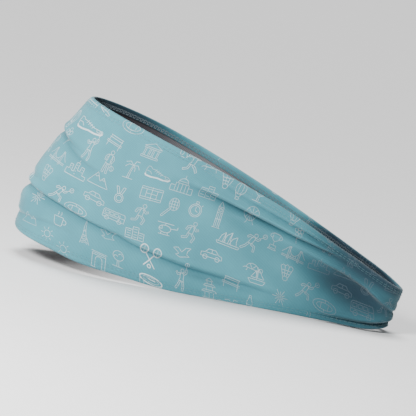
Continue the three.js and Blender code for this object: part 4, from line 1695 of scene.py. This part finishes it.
# %% Elastic and label
elastic_finish = Finish("ribbed_elastic", Specular_IOR_Level=0.35)
_, elastic_along, elastic_up = elastic_finish.cloth_place()
ribs = (elastic_up * (2 * math.pi / (1.1 * MM))).sine() * 0.5 + 0.5
picks = (elastic_along * (2 * math.pi / (0.6 * MM))).sine() * 0.5 + 0.5
elastic_finish.set(
    Base_Color=elastic_finish.mix(ribs * 0.6 + picks * 0.4, (0.50, 0.50, 0.48, 1), (0.80, 0.80, 0.77, 1)),
    Roughness=0.85 - ribs * 0.1,
)
elastic_finish.raise_by(ribs * 0.7 + picks * 0.3, 0.12 * MM)
elastic_finish.put_on(elastic)

label_finish = Finish("label_satin", Sheen_Weight=0.1, Specular_IOR_Level=0.5)
weave_place = label_finish.object_place()
weave = label_finish.node(
    "ShaderNodeTexWave",
    {"wave_type": "BANDS", "bands_direction": "Z"},
    {"Vector": weave_place, "Scale": 900.0, "Distortion": 1.0},
)
floats = label_finish.noise(weave_place, 1800.0, 2.0)
label_finish.set(
    Base_Color=label_finish.mix(weave * 0.5 + floats * 0.5, (0.74, 0.74, 0.72, 1), (0.90, 0.90, 0.88, 1)),
    Roughness=0.42 + floats * 0.16,
)
label_finish.raise_by(weave * 0.5 + floats * 0.5, 0.03 * MM)
label_finish.put_on(label)
print("elastic finish", len(elastic_finish.tree.nodes), "nodes")
print("label finish", len(label_finish.tree.nodes), "nodes")

# %% [markdown]
# ## Floor and light
#
# The band stands on a plain pale floor that runs out past the horizon. A large soft lamp near the brow
# is the main light, and it falls off towards the nape. A wide sun from above and a dim white sky fill
# the rest, so the shadows stay soft.


# %% Floor
def add_floor():
    bpy.ops.object.select_all(action="DESELECT")
    bpy.ops.mesh.primitive_plane_add(size=80.0, location=(0, 0, -0.0006))
    floor = bpy.context.object
    floor.name = "studio_floor"
    bpy.ops.object.transform_apply(location=True, rotation=True, scale=True)
    return floor


floor = add_floor()
floor_finish = Finish("studio_floor", Specular_IOR_Level=0.2)
grain = floor_finish.noise(floor_finish.object_place(), 60.0)
floor_colour = floor_finish.mix(grain, (0.90, 0.90, 0.90, 1), (0.93, 0.93, 0.93, 1))
floor_finish.set(Base_Color=floor_colour, Roughness=0.9)
floor_finish.put_on(floor)
print("floor", round(floor.dimensions.x), "m wide")


# %% Lights
def add_lamp(name, kind, energy, matrix):
    """A lamp of the given kind, placed by a matrix."""
    data = bpy.data.lights.new(name, kind)
    data.energy = energy
    lamp = bpy.data.objects.new(name, data)
    bpy.context.scene.collection.objects.link(lamp)
    lamp.matrix_world = matrix
    return data


def facing(way):
    """A turn that points a lamp along a direction."""
    return Vector(way).to_track_quat("-Z", "Y").to_matrix().to_4x4()


def add_sun(name, away, energy, spread):
    """A far, soft light that comes from the direction away."""
    data = add_lamp(name, "SUN", energy, facing(-Vector(away)))
    data.angle = math.radians(spread)


def add_area(name, place, aim, size, energy):
    """A round soft lamp at a place, aimed at another."""
    turn = facing(Vector(aim) - Vector(place))
    data = add_lamp(name, "AREA", energy, Matrix.Translation(place) @ turn)
    data.shape = "DISK"
    data.size = size


add_area("key", place=(-0.36, -0.56, 0.44), aim=(-0.02, 0, 0.05), size=0.26, energy=8.5)
add_sun("top", away=(-0.15, 0.25, 1.0), energy=3.2, spread=30)
SKY = 0.26  # strength of the white surroundings
world = bpy.data.worlds.new("studio")
world.use_nodes = True
world.node_tree.nodes["Background"].inputs["Color"].default_value = (1, 1, 1, 1)
world.node_tree.nodes["Background"].inputs["Strength"].default_value = SKY
bpy.context.scene.world = world
print("lights", [lamp.name for lamp in bpy.data.lights])

# %% [markdown]
# ## What moves with what
#
# The loop stretches along its length: the brow stays and the nape slides. Cloth, print, hem stitches,
# elastic and tacks have their placement baked into their meshes. The seam and the label sit at the nape;
# the seam is parented to the nape's body and the label to a body of its own. Each piece hides the CAD
# node that it stands for. The print has no node of its own.


def stretches(piece):
    """Bakes the piece's placement into its mesh."""
    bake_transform(piece)


stretches(shell)
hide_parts("printed_shell")
stretches(lining)
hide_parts("inner_lining")
stretches(ink_print)
for upper, prefix in ((True, "upper"), (False, "lower")):
    stitching = (
        (needles[upper], "needle", "hem_thread_outer"),
        (loopers[upper], "looper", "hem_thread_inner"),
    )
    for piece, kind, slot in stitching:
        stretches(piece)
        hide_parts(f"{prefix}_hem_{kind}_thread")
stretches(elastic)
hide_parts("nape_elastic")
for side, name in ((-1, "elastic_tack_left"), (1, "elastic_tack_right")):
    stretches(tacks[side])
    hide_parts(name)
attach(seam, "nape")
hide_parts("nape_seam_thread")
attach(label, "label")
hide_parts("care_label")

# %% [markdown]
# ## Flat sizes
#
# Both layers of cloth are cut flat, as long as the loop and as wide as the brow, and taper towards the
# nape. The shell's width has both hems in it.

# %% Sheets
mean_height = float(np.mean(height_at(way_round)))
brow_height = float(height_at(np.array([0.0]))[0])
